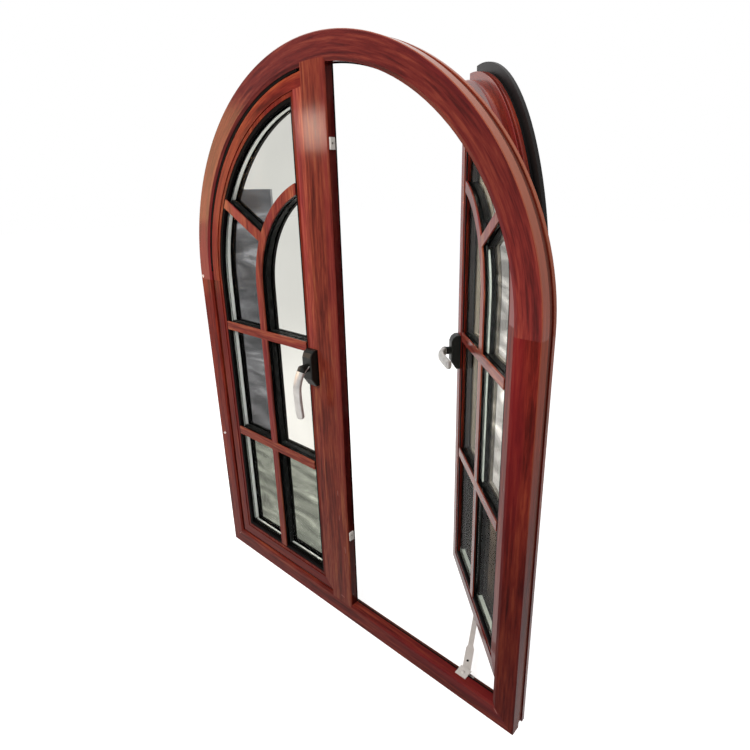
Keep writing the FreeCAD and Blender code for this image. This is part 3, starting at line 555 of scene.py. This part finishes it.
def reflection_painted_glass(name, reflection_tints, index, leaf_turn=None):
    """Painted reflection: pale at the lock side, darker and streaked by the hinges, in one band of the
    fan and below.
    """
    material, tree, shader = start_material(name)
    point = surface_point(tree, leaf_turn)
    parts = add_node(tree, "ShaderNodeSeparateXYZ", {"Vector": point})
    reach, z = calculate(tree, "ABSOLUTE", parts.outputs["X"]), parts.outputs["Z"]
    spoke = calculate(tree, "ADD", calculate(tree, "MULTIPLY", reach, SPOKE_SLOPE), SPRING_HEIGHT)
    hinge_side = calculate(tree, "GREATER_THAN", reach, UPRIGHT_BAR)
    under_spoke = calculate(tree, "LESS_THAN", z, spoke)
    beside = calculate(tree, "MULTIPLY", hinge_side, under_spoke)
    band = calculate(tree, "MULTIPLY", calculate(tree, "GREATER_THAN", z, FAN_REFLECTION_HEIGHTS[0]),
                     calculate(tree, "LESS_THAN", z, FAN_REFLECTION_HEIGHTS[1]))
    band = calculate(tree, "MULTIPLY", band, calculate(tree, "GREATER_THAN", reach, FAN_REFLECTION_FROM))
    dark_reflection_share = calculate(tree, "MAXIMUM", beside, band)
    low_reflection_share = calculate(tree, "LESS_THAN", z, LEVEL_BARS[0])
    stretched = add_node(tree, "ShaderNodeMapping", {
        "Vector": point, "Scale": REFLECTION_STREAK_STRETCH, "Rotation": REFLECTION_STREAK_LEAN}).outputs["Vector"]
    reflection_streaks = colour_ramp(tree, cloudy(tree, stretched, REFLECTION_STREAK_SCALE, 5.0, 1.4), REFLECTION_STREAK_STOPS)
    dust = colour_ramp(tree, cloudy(tree, point, DUST_SCALE, 2.0), DUST_STOPS)
    # Painted reflection in three tints, with painted reflection streaks where it is dark or low.
    painted_reflection = mix_colours(tree, dark_reflection_share, reflection_tints["pale"], reflection_tints["dark"])
    painted_reflection = mix_colours(tree, low_reflection_share, painted_reflection, reflection_tints["mid"])
    streaked_share = calculate(tree, "MAXIMUM", dark_reflection_share, low_reflection_share)
    mottle = mix_colours(tree, streaked_share, dust, reflection_streaks)
    tint = mix_colours(tree, 1.0, painted_reflection, mottle, "MULTIPLY")
    tree.links.new(tint, shader.inputs["Base Color"])
    return finish_glass(material, tree, shader, tint, index)


for name in SIDES:
    index, turn = GLASS_INDEX[name], leaf_turns[name]
    dress(f"{name}_inner_pane", clear_glass(f"{name}_inner_glass", index))
    dress(f"{name}_outer_pane", reflection_painted_glass(f"{name}_outer_glass", PAINTED_REFLECTION_TINTS[name], index, turn))

SPACER_FOOT = 0.062
SPACER_FOOT_DARK = 0.006
SPACER_GRAIN_SCALE = 380.0
SPACER_GRAIN_STOPS = ((0.35, grey(0.90)), (0.65, grey(1.0)))
NEAR_FOOT_BLACK = linear(24, 23, 23)


def spacer_finish(name, side_light, foot, foot_from, leaf_turn=None):
    """Grainy aluminium: painted light and shade above its foot, another colour along its foot from a
    given depth, black nearer the room.
    """
    material, tree, shader = start_material(name)
    point = surface_point(tree, leaf_turn)
    parts = add_node(tree, "ShaderNodeSeparateXYZ", {"Vector": point})
    upper = calculate(tree, "GREATER_THAN", parts.outputs["Z"], SASH_FLOOR + SPACER_FOOT)
    bright = calculate(tree, "GREATER_THAN", parts.outputs["Y"], foot_from)
    grains = colour_ramp(tree, cloudy(tree, point, SPACER_GRAIN_SCALE), SPACER_GRAIN_STOPS)
    foot_shade = mix_colours(tree, bright, NEAR_FOOT_BLACK, linear(*foot))
    shades = mix_colours(tree, upper, foot_shade, linear(*side_light))
    tree.links.new(mix_colours(tree, 1.0, shades, grains, "MULTIPLY"), shader.inputs["Base Color"])
    shader.inputs["Metallic"].default_value = 0.1
    shader.inputs["Roughness"].default_value = 0.4
    return material


# Painted light on the left leaf's spacer above its foot, painted shade on the right leaf's.
spacer_finishes = {
    "left": spacer_finish("spacer_painted_light", (236, 238, 236), (206, 208, 206),
                          SPACE_FRONT + SPACER_FOOT_DARK),
    "right": spacer_finish("spacer_painted_shade", (42, 40, 41), (190, 195, 187),
                           SPACE_FRONT, leaf_turns["right"]),
}
pale_sealant = speckled_finish("pale_sealant", linear(240, 238, 232), linear(248, 246, 240),
                               roughness=0.6, speck_scale=500.0, bump_strength=0.1)
outer_seals = {"left": rubber, "right": pale_sealant}
BEAD_STEP = 0.0475
BEAD_EDGE = 0.052
GASKET_CREST = 0.0058
GASKET_SHOULDER = (0.002, 0.0052)
GASKET_TOE = (0.0035, 0.0010)
GASKET_CLEAR = 0.0001
OUTER_EDGE = 0.053
OUTER_GASKET_THICK = 0.002
OUTER_GASKET_TOE = (0.003, 0.0002)
OUTER_GASKET_LAP = 0.001
SEALANT_PROUD = 0.0008
SEALANT_ROOT = 0.0004
SEALANT_DEEP = 0.009
SPACER_EDGE = 0.056
BUTYL_WIDTH = 0.0018
BUTYL_PROUD = 0.0005
BUTYL_ROOT = 0.002
BUTYL_CLEAR = 0.0002
gasket_toe = BEAD_EDGE + GASKET_TOE[0]
gasket_section = [
    (BEAD_STEP, GLASS_FRONT - GASKET_CREST),
    (BEAD_EDGE + GASKET_SHOULDER[0], GLASS_FRONT - GASKET_SHOULDER[1]),
    (gasket_toe, GLASS_FRONT - GASKET_TOE[1]), (gasket_toe, GLASS_FRONT - GASKET_CLEAR),
    (BEAD_STEP, GLASS_FRONT - GASKET_CLEAR)]
gasket_locks = [SASH_LOCK + inset for inset in (BEAD_STEP, BEAD_EDGE, BEAD_EDGE, BEAD_EDGE, BEAD_STEP)]
seal_top = GLASS_BACK + OUTER_GASKET_THICK
outer_section = [
    (GLASS_INSET, GLASS_BACK), (OUTER_EDGE + OUTER_GASKET_TOE[0], GLASS_BACK + OUTER_GASKET_TOE[1]),
    (OUTER_EDGE + OUTER_GASKET_LAP, seal_top), (GLASS_INSET, seal_top)]
sealant_root, sealant_edge = OUTER_EDGE - SEALANT_ROOT, OUTER_EDGE + SEALANT_PROUD
sealant_top = GLASS_BACK + SEALANT_DEEP
sealant_section = [(sealant_root, seal_top), (sealant_edge, seal_top),
                   (sealant_edge, sealant_top), (sealant_root, sealant_top)]
for name, side in SIDES.items():
    turn = leaf_turns[name]
    dress(f"{name}_glass_spacer", spacer_finishes[name])
    strip_round(f"{name}_glass_gasket", side, gasket_section, rubber, turn,
                gasket_locks)
    strip_round(f"{name}_outer_gasket", side, outer_section, outer_seals[name], turn)
    if name == "right":
        strip_round("right_sealant", side, sealant_section, pale_sealant, turn)
    for layer, start in (("inner", SPACE_FRONT), ("outer", SPACE_BACK - BUTYL_WIDTH)):
        near, far = start + BUTYL_CLEAR, start + BUTYL_WIDTH - BUTYL_CLEAR
        root, edge = SPACER_EDGE - BUTYL_ROOT, SPACER_EDGE + BUTYL_PROUD
        strip_round(f"{name}_{layer}_butyl", side, [(root, near), (edge, near), (edge, far), (root, far)],
                    rubber, turn)

# Bars between the panes: black spacer bars in the sealed space, behind the bars of the room
# side and cut to the same pattern, so that the glass looks truly divided.
BAR_STRIP_DEPTH = 0.0030
BAR_STRIP_TOP = SPRING_HEIGHT + 0.100
BAR_STRIP_LAP = 0.001
PAINTED_STRIP_DIMMING = 0.86
BAR_HAZE_SCALE = 60.0
LACQUER_STOPS = ((0.42, linear(15, 16, 16)), (0.72, linear(34, 36, 36)))


def hidden_bar_finish(name, shown, leaf_turn=None):
    """Black lacquer on a spacer bar; the room-side strip of its upright takes another colour, a painted
    highlight where it is pale.
    """
    material, tree, shader = start_material(name)
    point = surface_point(tree, leaf_turn)
    x, depth, z = add_node(tree, "ShaderNodeSeparateXYZ", {"Vector": point}).outputs
    aside = calculate(tree, "SUBTRACT", calculate(tree, "ABSOLUTE", x), UPRIGHT_BAR)
    from_level_bar = calculate(tree, "SUBTRACT", z, LEVEL_BARS[1])
    conditions = [
        calculate(tree, "LESS_THAN", depth, SPACE_FRONT + BAR_STRIP_DEPTH),
        calculate(tree, "LESS_THAN", calculate(tree, "ABSOLUTE", aside), BAR_HALF + BAR_STRIP_LAP),
        calculate(tree, "LESS_THAN", z, BAR_STRIP_TOP),
        calculate(tree, "GREATER_THAN", z, LEVEL_BARS[0] + BAR_HALF),
        calculate(tree, "GREATER_THAN", calculate(tree, "ABSOLUTE", from_level_bar), BAR_HALF),
    ]
    near = conditions[0]
    for condition in conditions[1:]:
        near = calculate(tree, "MULTIPLY", near, condition)
    haze = cloudy(tree, point, BAR_HAZE_SCALE)
    lacquer = colour_ramp(tree, haze, LACQUER_STOPS)
    painted_light_part = linear(*(PAINTED_STRIP_DIMMING * value for value in shown))
    strip = colour_ramp(tree, haze, ((0.30, linear(*shown)), (0.75, painted_light_part)))
    tree.links.new(mix_colours(tree, near, lacquer, strip), shader.inputs["Base Color"])
    shader.inputs["Roughness"].default_value = 0.5
    shader.inputs["Specular IOR Level"].default_value = 0.1
    return material


# The right leaf's pale strip is a painted highlight; the left one is black.
PAINTED_BAR_STRIPS = {"left": (24, 24, 24), "right": (206, 212, 204)}
BAR_CLEAR = 0.0003
for name in SIDES:
    turn = leaf_turns[name] or Matrix()
    mesh = nodes[f"{name}_inner_grille"].data.copy()
    mesh.transform(turn.inverted())
    front = min(vertex.co.y for vertex in mesh.vertices)
    thickness = max(vertex.co.y for vertex in mesh.vertices) - front
    for vertex in mesh.vertices:
        share = (vertex.co.y - front) / thickness
        vertex.co.y = SPACE_FRONT + BAR_CLEAR + share * (SPACE_BACK - SPACE_FRONT - 2 * BAR_CLEAR)
    mesh.materials.clear()
    shape = bmesh.new()
    shape.from_mesh(mesh)
    bpy.data.meshes.remove(mesh)
    hidden_bar = hidden_bar_finish(f"{name}_hidden_bar", PAINTED_BAR_STRIPS[name], leaf_turns[name])
    add_piece(f"{name}_spacer_bars", shape, hidden_bar, turn)

# Lever handles: a black case with chamfered ends screwed to each lock stile, an elbow on its neck
# and a bowed lever of cast alloy, satin silver, with a bright collar. The left lever hangs, the
# right one is turned level.
case_black = speckled_finish("case_black", linear(17, 18, 16), linear(32, 34, 30), roughness=0.42,
                             speck_scale=1500.0, bump_strength=0.1)
METAL_HAZE_SCALE = 60.0
METAL_GRIT_SCALE = 1400.0
METAL_GRIT_BUMP = 0.08
METAL_GRIT_HEIGHT = 0.0002


def satin_metal(name, dull, bright, roughness, metallic):
    """Plated or cast metal, clouded between two shades, with a fine grit."""
    material, tree, shader = start_material(name)
    point = surface_point(tree)
    haze = cloudy(tree, point, METAL_HAZE_SCALE, 4.0)
    grit = cloudy(tree, point, METAL_GRIT_SCALE, 2.0)
    tree.links.new(colour_ramp(tree, haze, ((0.3, dull), (0.7, bright))), shader.inputs["Base Color"])
    bump = add_node(tree, "ShaderNodeBump", {
        "Height": grit, "Strength": METAL_GRIT_BUMP, "Distance": METAL_GRIT_HEIGHT})
    tree.links.new(bump.outputs["Normal"], shader.inputs["Normal"])
    shader.inputs["Metallic"].default_value = metallic
    shader.inputs["Roughness"].default_value = roughness
    return material


lever_silver = satin_metal("lever_silver", linear(182, 180, 177), linear(208, 206, 203),
                           roughness=0.36, metallic=0.5)
LEVER_WIDTH = 0.018
LEVER_THICKNESS = 0.0125
LEVER_LENGTH = 0.102
LEVER_RISE = 0.0155
LEVER_RISE_SHARE = 0.42
LEVER_RETURN = 0.0035
LEVER_STEPS = 40
LEVER_SIDES = 28
LEVER_ROUNDING = 0.7
LEVER_TIP = 0.05
LEVER_TIP_FULLNESS = 0.80
LEVER_CLEAR = 0.0005
ELBOW_SHARE = 0.06
ELBOW_SECTIONS = ((-0.07, 0.55), (-0.05, 0.85), (-0.02, 1.0), (ELBOW_SHARE, 1.0))
COLLAR_HALF = 0.009
COLLAR_FULLNESS = 1.07
CASE_LOW, CASE_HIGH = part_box("left_handle_base")
HANDLE_SHIFT = 0.003
HUB_RISE = 0.004
HANDLE_X = -(CASE_LOW.x + CASE_HIGH.x) / 2 + HANDLE_SHIFT
HUB_Z = (CASE_LOW.z + CASE_HIGH.z) / 2 + HUB_RISE
LEVER_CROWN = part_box("left_handle_lever")[0].y + LEVER_THICKNESS / 2 + LEVER_CLEAR
RUN_PROBE = 0.01


def lever_line(share):
    """A point (y, z) of the lever's middle line; share 0 is its hub and 1 its free end."""
    rise = math.sin(math.pi / 2 * max(min(share / LEVER_RISE_SHARE, 1.0), 0.0))
    past = max(share - LEVER_RISE_SHARE, 0.0) / (1 - LEVER_RISE_SHARE)
    y = LEVER_CROWN + LEVER_RISE * (1 - rise) + LEVER_RETURN * past ** 2
    return Vector((y, HUB_Z - LEVER_LENGTH * share))


def lever_loop(shape, share, fullness):
    """One rounded section of the lever, square to its middle line."""
    place = lever_line(share)
    run = (lever_line(share + RUN_PROBE) - lever_line(share - RUN_PROBE)).normalized()
    loop = []
    for corner in range(LEVER_SIDES):
        turn = 2 * math.pi * corner / LEVER_SIDES
        across, through = (math.copysign(abs(part) ** LEVER_ROUNDING, part) * size / 2 for part, size in (
            (math.cos(turn), LEVER_WIDTH), (math.sin(turn), LEVER_THICKNESS)))
        loop.append(shape.verts.new((
            across * fullness - HANDLE_X,
            place[0] - through * fullness * run[1], place[1] + through * fullness * run[0])))
    return loop


def close_tube(shape, loops):
    """Faces along a tube of sections, with a flat face at each end."""
    count = len(loops[0])
    for here, there in zip(loops, loops[1:]):
        for corner in range(count):
            after = (corner + 1) % count
            shape.faces.new((here[corner], here[after], there[after], there[corner]))
    shape.faces.new(loops[0])
    shape.faces.new(list(reversed(loops[-1])))


def lever_shape():
    """The hanging left lever, drawn in a little at its free end."""
    shape = bmesh.new()
    loops = []
    for step in range(LEVER_STEPS + 1):
        share = ELBOW_SHARE + (1 - ELBOW_SHARE) * step / LEVER_STEPS
        to_end = min((1 - share) / LEVER_TIP, 1.0)
        rounded = math.sqrt(1 - (1 - to_end) ** 2)
        fullness = LEVER_TIP_FULLNESS + (1 - LEVER_TIP_FULLNESS) * rounded
        loops.append(lever_loop(shape, share, fullness))
    close_tube(shape, loops)
    return shape


def elbow_shape():
    """The black elbow that covers the lever's hub."""
    shape = bmesh.new()
    close_tube(shape, [lever_loop(shape, share, fullness) for share, fullness in ELBOW_SECTIONS])
    return shape


def collar_shape():
    """The bright edge where the lever leaves the elbow."""
    shape = bmesh.new()
    close_tube(shape, [lever_loop(shape, ELBOW_SHARE + step, COLLAR_FULLNESS)
                       for step in (-COLLAR_HALF, COLLAR_HALF)])
    return shape


CASE_DEPTH = 0.020
CASE_PROFILE = ((0.0, 0.004), (0.009, 0.004), (CASE_DEPTH, 0.021), (CASE_DEPTH, 0.066), (0.016, 0.075),
                (0.009, 0.080), (0.0, 0.080))
CASE_SPREAD = 0.0015
CASE_EASE = 0.0015
NECK_SUNK = 0.002
NECK_RADIUS = 0.0085
NECK_SIDES = 28
NECK_END = lever_line(0.0)[0]


def case_shape():
    """The case on the lock stile, its room-side edges eased, and the round neck in front of it."""
    shape = bmesh.new()
    loops = []
    half = (CASE_HIGH.x - CASE_LOW.x) / 2 + CASE_SPREAD
    edges = ((-half, CASE_EASE), (CASE_EASE - half, 0.0), (half - CASE_EASE, 0.0), (half, CASE_EASE))
    for across, ease in edges:
        loops.append([shape.verts.new((
            across - HANDLE_X, CASE_HIGH.y - max(depth - ease, 0.0), CASE_LOW.z + height))
            for depth, height in CASE_PROFILE])
    close_tube(shape, loops)
    angles = [2 * math.pi * side / NECK_SIDES for side in range(NECK_SIDES)]
    close_tube(shape, [[shape.verts.new((
        NECK_RADIUS * math.cos(angle) - HANDLE_X, y, HUB_Z + NECK_RADIUS * math.sin(angle)))
        for angle in angles] for y in (CASE_HIGH.y - CASE_DEPTH + NECK_SUNK, NECK_END)])
    return shape


HIGHLIGHT_HALF = 0.0008
HIGHLIGHT_SLOPE = 0.009
HIGHLIGHT_CORNERS = ((-3, -1), (1, -1), (1, 1), (-3, 1))


def highlight_line_shape():
    """A painted highlight: the bright line along the side of the neck, from the case down to the lever.
    """
    shape = bmesh.new()
    x = NECK_RADIUS - HANDLE_X
    ends = ((CASE_HIGH.y - CASE_DEPTH, HUB_Z + HIGHLIGHT_SLOPE / 2), (NECK_END, HUB_Z - HIGHLIGHT_SLOPE / 2))
    close_tube(shape, [[shape.verts.new((x + across * HIGHLIGHT_HALF, y, z + up * HIGHLIGHT_HALF))
                        for across, up in HIGHLIGHT_CORNERS] for y, z in ends])
    return shape


def smooth(piece):
    for face in piece.data.polygons:
        face.use_smooth = True


hub = Matrix.Translation((-HANDLE_X, 0, HUB_Z))
quarter_turn = hub @ Matrix.Rotation(math.radians(90), 4, "Y") @ hub.inverted()
across_window = Matrix.Diagonal((-1, 1, 1, 1))
lever_places = {"left": Matrix(), "right": leaf_turns["right"] @ across_window @ quarter_turn}
case_places = {"left": Matrix(), "right": leaf_turns["right"] @ across_window}
for name in SIDES:
    on_stile, on_hub = case_places[name], lever_places[name]
    case = add_piece(f"{name}_case", case_shape(), case_black, on_stile)
    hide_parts(f"{name}_handle_base")
    lever = add_piece(f"{name}_lever", lever_shape(), lever_silver, on_hub)
    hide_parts(f"{name}_handle_lever")
    elbow = add_piece(f"{name}_elbow", elbow_shape(), case_black, on_hub)
    add_piece(f"{name}_collar", collar_shape(), lever_silver, on_hub)
    # A painted highlight on the neck, in lever silver.
    add_piece(f"{name}_neck_highlight", highlight_line_shape(), lever_silver, on_stile)
    smooth(lever)
    smooth(elbow)

# Keepers, stay and hinges: pressed and plated steel. The keepers are screwed to the mullion, the
# stay turns on a rivet in its block on the sill, and the hinges sit in the rebate.
PLATED = {"roughness": 0.4, "metallic": 0.1}
zinc = satin_metal("bright_zinc", linear(228, 226, 221), linear(246, 244, 240), **PLATED)
stainless = satin_metal("stainless", linear(234, 232, 227), linear(248, 246, 242), **PLATED)
for level in ("lower", "upper"):
    dress(f"{level}_keeper", zinc)
    for name in SIDES:
        dress(f"{name}_{level}_hinge", stainless)
dress("stay_block", stainless)
dress("stay_arm", stainless)

STUD_SIDES = 24
STUD_CROWN = ((0.85, 0.3), (0.45, 0.0))


def stud_shape(place, radius, height, crown):
    """A round head that stands on a level face, crowned like a rivet or flat like a disc."""
    shape = bmesh.new()
    crowned = [(share, height - crown * drop) for share, drop in STUD_CROWN]
    profile = [(1.0, 0.0), (1.0, height - crown), *crowned]
    angles = [2 * math.pi * side / STUD_SIDES for side in range(STUD_SIDES)]
    close_tube(shape, [[
        shape.verts.new((place[0] + radius * share * math.cos(angle),
                         place[1] + radius * share * math.sin(angle), place[2] + level))
        for angle in angles] for share, level in profile])
    return shape


STAY_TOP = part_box("stay_arm")[1].z
STAY_HOLE = 0.030
stay_pivot = Vector((middle("stay_block").x, middle("stay_block").y, STAY_TOP))
stay_far = Vector((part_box("stay_arm")[0].x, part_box("stay_arm")[1].y, STAY_TOP))
stay_run = (stay_far - stay_pivot).normalized()
BRACKET_HALF = 0.012
BRACKET_REACH = 0.009
BRACKET_LAP = 0.002
BRACKET_THICK = 0.0016
RIVET_AHEAD = 0.010
RIVET = {"radius": 0.0036, "height": 0.0012, "crown": 0.0008}
POST_RADIUS = 0.0040
POST_PROUD = 0.0004
POST_CROWN = 0.0002
HOLE_SHADE_DISC = {"radius": 0.0026, "height": 0.0004, "crown": 0.0001}
lip_top = SASH_FLOOR + LIP_INSET
shape = bmesh.new()
bracket_low = Vector((stay_pivot.x - BRACKET_HALF, LIP_BACK - BRACKET_REACH, lip_top))
bracket_high = Vector((stay_pivot.x + BRACKET_HALF, stay_pivot.y + BRACKET_LAP, lip_top + BRACKET_THICK))
bmesh.ops.create_cube(shape, size=1.0, matrix=Matrix.Translation((bracket_low + bracket_high) / 2)
                      @ Matrix.Diagonal((*(bracket_high - bracket_low), 1.0)))
add_piece("stay_bracket", shape, stainless)
rivet_place = Vector((stay_pivot.x, stay_pivot.y - RIVET_AHEAD, lip_top + BRACKET_THICK))
smooth(add_piece("bracket_rivet", stud_shape(rivet_place, **RIVET), zinc))
post = stud_shape(stay_pivot, POST_RADIUS, lip_top - STAY_TOP + POST_PROUD, POST_CROWN)
add_piece("bracket_post", post, stainless)
# Painted shade: a flat black disc on the arm stands for the dark of its hole.
hole_shade = stud_shape(stay_pivot + stay_run * STAY_HOLE, **HOLE_SHADE_DISC)
add_piece("stay_hole_shade", hole_shade, rubber)

# Wear: chips at the left jamb's edge where the printed coat has flaked to bare metal, and faint
# scuffs in the print on the mullion and the mitred corners.
bare_metal = satin_metal("bare_metal", linear(214, 196, 192), linear(244, 232, 230),
                         roughness=0.5, metallic=0.2)
scuffed = satin_metal("scuffed_print", linear(150, 84, 74), linear(182, 116, 104),
                      roughness=0.6, metallic=0.0)
FLAKE_THICK = 0.0003
FLAKE_CORNERS = 11
FLAKE_REACH = (0.65, 1.1)
FLAKE_SEED = 11
# Each flake's place on the face, half width and half height, and lean.
FLAKES = {
    "spring_chip": ((-0.4420, 0.7560), (0.0055, 0.0040), 0.0),
    "jamb_chip": ((-0.4330, 0.3390), (0.0070, 0.0035), 0.3),
    "left_mitre_scuff": ((-0.4180, 0.0320), (0.0010, 0.0090), -0.785),
    "right_mitre_scuff": ((0.4140, 0.0310), (0.0009, 0.0070), 0.7),
    "mullion_scuff_low": ((0.0207, 0.1920), (0.0007, 0.0100), 0.05),
    "mullion_scuff_mid": ((0.0073, 0.2690), (0.0006, 0.0085), -0.05),
    "mullion_scuff_high": ((0.0064, 0.3316), (0.0007, 0.0075), 0.0),
    "mullion_foot_scuff": ((0.0040, 0.0560), (0.0065, 0.0007), -0.25),
}


def flake_shape(place, half_size, lean, draws):
    """An uneven flake that lies on the frame's room-side face."""
    shape = bmesh.new()
    rim = []
    for corner in range(FLAKE_CORNERS):
        turn = 2 * math.pi * corner / FLAKE_CORNERS
        reach = draws.uniform(*FLAKE_REACH)
        across = half_size[0] * reach * math.cos(turn)
        along = half_size[1] * reach * math.sin(turn)
        rim.append((place[0] + across * math.cos(lean) - along * math.sin(lean),
                    place[1] + across * math.sin(lean) + along * math.cos(lean)))
    front = [shape.verts.new((x, FRAME_FRONT - FLAKE_THICK, z)) for x, z in rim]
    back = [shape.verts.new((x, FRAME_FRONT + FLAKE_THICK, z)) for x, z in rim]
    close_tube(shape, [front, back])
    return shape


draws = random.Random(FLAKE_SEED)
for label, (place, half_size, lean) in FLAKES.items():
    material = bare_metal if label.endswith("chip") else scuffed
    add_piece(label, flake_shape(place, half_size, lean, draws), material)

# The studio: a pale floor under the sill, a white surround, a warm lamp and three small gleams to
# the left of the camera, a narrow lamp level with the right jamb, and soft ones in front and
# behind. Floor and surround are seen as white, and light the window at a lower level.
SURROUND_LIGHT = 0.24
FLOOR_GREY = grey(0.30)
FLOOR_PALE = grey(0.80)
FLOOR_GLOW = 0.82


def shown_rays(tree):
    """One where the surround is seen, straight on or in glass and metal; nought where it lights."""
    path = add_node(tree, "ShaderNodeLightPath")
    seen = calculate(tree, "MAXIMUM", path.outputs["Is Camera Ray"], path.outputs["Is Transmission Ray"])
    return calculate(tree, "MAXIMUM", seen, path.outputs["Is Glossy Ray"])


floor_material, tree, shader = start_material("studio_floor")
shown = shown_rays(tree)
tree.links.new(mix_colours(tree, shown, FLOOR_GREY, FLOOR_PALE), shader.inputs["Base Color"])
tree.links.new(calculate(tree, "MULTIPLY", shown, FLOOR_GLOW), shader.inputs["Emission Strength"])
shader.inputs["Emission Color"].default_value = grey(1.0)
shader.inputs["Roughness"].default_value = 0.9
shader.inputs["Specular IOR Level"].default_value = 0.0
FLOOR_REACH = 14.0
floor_mesh = bpy.data.meshes.new("studio_floor")
corners = [(FLOOR_REACH * x, FLOOR_REACH * y, 0) for x, y in ((-1, -1), (1, -1), (1, 1), (-1, 1))]
floor_mesh.from_pydata(corners, [], [(0, 1, 2, 3)])
floor_mesh.materials.append(floor_material)
floor = bpy.data.objects.new("studio_floor", floor_mesh)
bpy.context.collection.objects.link(floor)

world = bpy.data.worlds.new("studio_surround")
world.use_nodes = True
bpy.context.scene.world = world
tree = world.node_tree
level = add_node(tree, "ShaderNodeMapRange", {
    "Value": shown_rays(tree), "To Min": SURROUND_LIGHT, "To Max": 1.0})
tree.links.new(level.outputs["Result"], tree.nodes["Background"].inputs["Strength"])
tree.nodes["Background"].inputs["Color"].default_value = grey(1.0)


def soft_lamp(label, place, target, size, power, colour, gleam):
    """A rectangular lamp that either lights the object or only gleams in its satin and metal."""
    lamp = bpy.data.lights.new(label, "AREA")
    lamp.shape = "RECTANGLE"
    lamp.size, lamp.size_y = size
    lamp.energy = power
    lamp.color = colour
    lamp_object = bpy.data.objects.new(label, lamp)
    lamp_object.location = place
    aim = Vector(target) - Vector(place)
    lamp_object.rotation_euler = aim.to_track_quat("-Z", "Y").to_euler()
    lamp_object.visible_diffuse = not gleam
    lamp_object.visible_glossy = gleam
    bpy.context.collection.objects.link(lamp_object)


WARM = (1.0, 0.80, 0.64)
AMBER = (1.0, 0.54, 0.22)
NEUTRAL = (1.0, 0.97, 0.94)
# Each lamp's place, the point it faces, width and height, watts and colour.
LAMPS = {
    "warm_front_lamp": ((-1.4, -0.9, 1.5), (-0.3, 0.0, 0.9), (0.6, 0.5), 7.0, WARM),
    "mullion_gleam": ((-0.92, -0.80, 1.165), (0.0, 0.0, 1.05), (0.045, 0.13), 2.2, WARM),
    "arch_gleam": ((-1.60, -0.72, 1.06), (-0.38, 0.0, 0.99), (0.45, 0.50), 4.6, AMBER),
    "spring_gleam": ((-1.70, -0.72, 0.64), (-0.43, 0.0, 0.80), (0.40, 0.36), 1.1, AMBER),
    "right_lamp": ((1.9, 0.03, 1.6), (0.45, 0.01, 1.0), (0.25, 1.2), 10.0, NEUTRAL),
    "back_lamp": ((0.5, 1.2, 2.4), (0.2, 0.1, 1.0), (1.6, 1.2), 16.0, NEUTRAL),
    "front_lamp": ((0.1, -1.8, 2.4), (0.0, 0.0, 0.9), (1.6, 1.2), 44.0, NEUTRAL),
}
for label, setting in LAMPS.items():
    soft_lamp(label, *setting, gleam=label.endswith("gleam"))

# The camera stands to the right of the open light, a little below the crown of the arch.
CAMERA_PLACE = Vector((0.7656, -0.6711, 0.9599))
CAMERA_TURN = math.radians(41.2265)
CAMERA_DOWN = math.radians(18.4568)
CAMERA_ROLL = math.radians(-0.7932)
SENSOR = 36.0
PHOTO_SIZE = 750.0
FOCAL_PIXELS = 531.03
IMAGE_CENTRE = (399.06, 362.05)
camera_data = bpy.data.cameras.new("photo_camera")
camera_data.sensor_width = SENSOR
camera_data.lens = FOCAL_PIXELS / PHOTO_SIZE * SENSOR
camera_data.shift_x = (PHOTO_SIZE / 2 - IMAGE_CENTRE[0]) / PHOTO_SIZE
camera_data.shift_y = (IMAGE_CENTRE[1] - PHOTO_SIZE / 2) / PHOTO_SIZE
camera_data.clip_start = 0.01
camera = bpy.data.objects.new("photo_camera", camera_data)
forward = Vector((-math.sin(CAMERA_TURN) * math.cos(CAMERA_DOWN),
                  math.cos(CAMERA_TURN) * math.cos(CAMERA_DOWN), -math.sin(CAMERA_DOWN)))
rightward = Vector((math.cos(CAMERA_TURN), math.sin(CAMERA_TURN), 0.0))
upward = rightward.cross(forward)
image_right = rightward * math.cos(CAMERA_ROLL) + upward * math.sin(CAMERA_ROLL)
image_up = upward * math.cos(CAMERA_ROLL) - rightward * math.sin(CAMERA_ROLL)
pose = Matrix((image_right, image_up, -forward)).transposed().to_4x4()
camera.matrix_world = Matrix.Translation(CAMERA_PLACE) @ pose
bpy.context.collection.objects.link(camera)
bpy.context.scene.camera = camera
bpy.context.scene.view_settings.view_transform = "Standard"
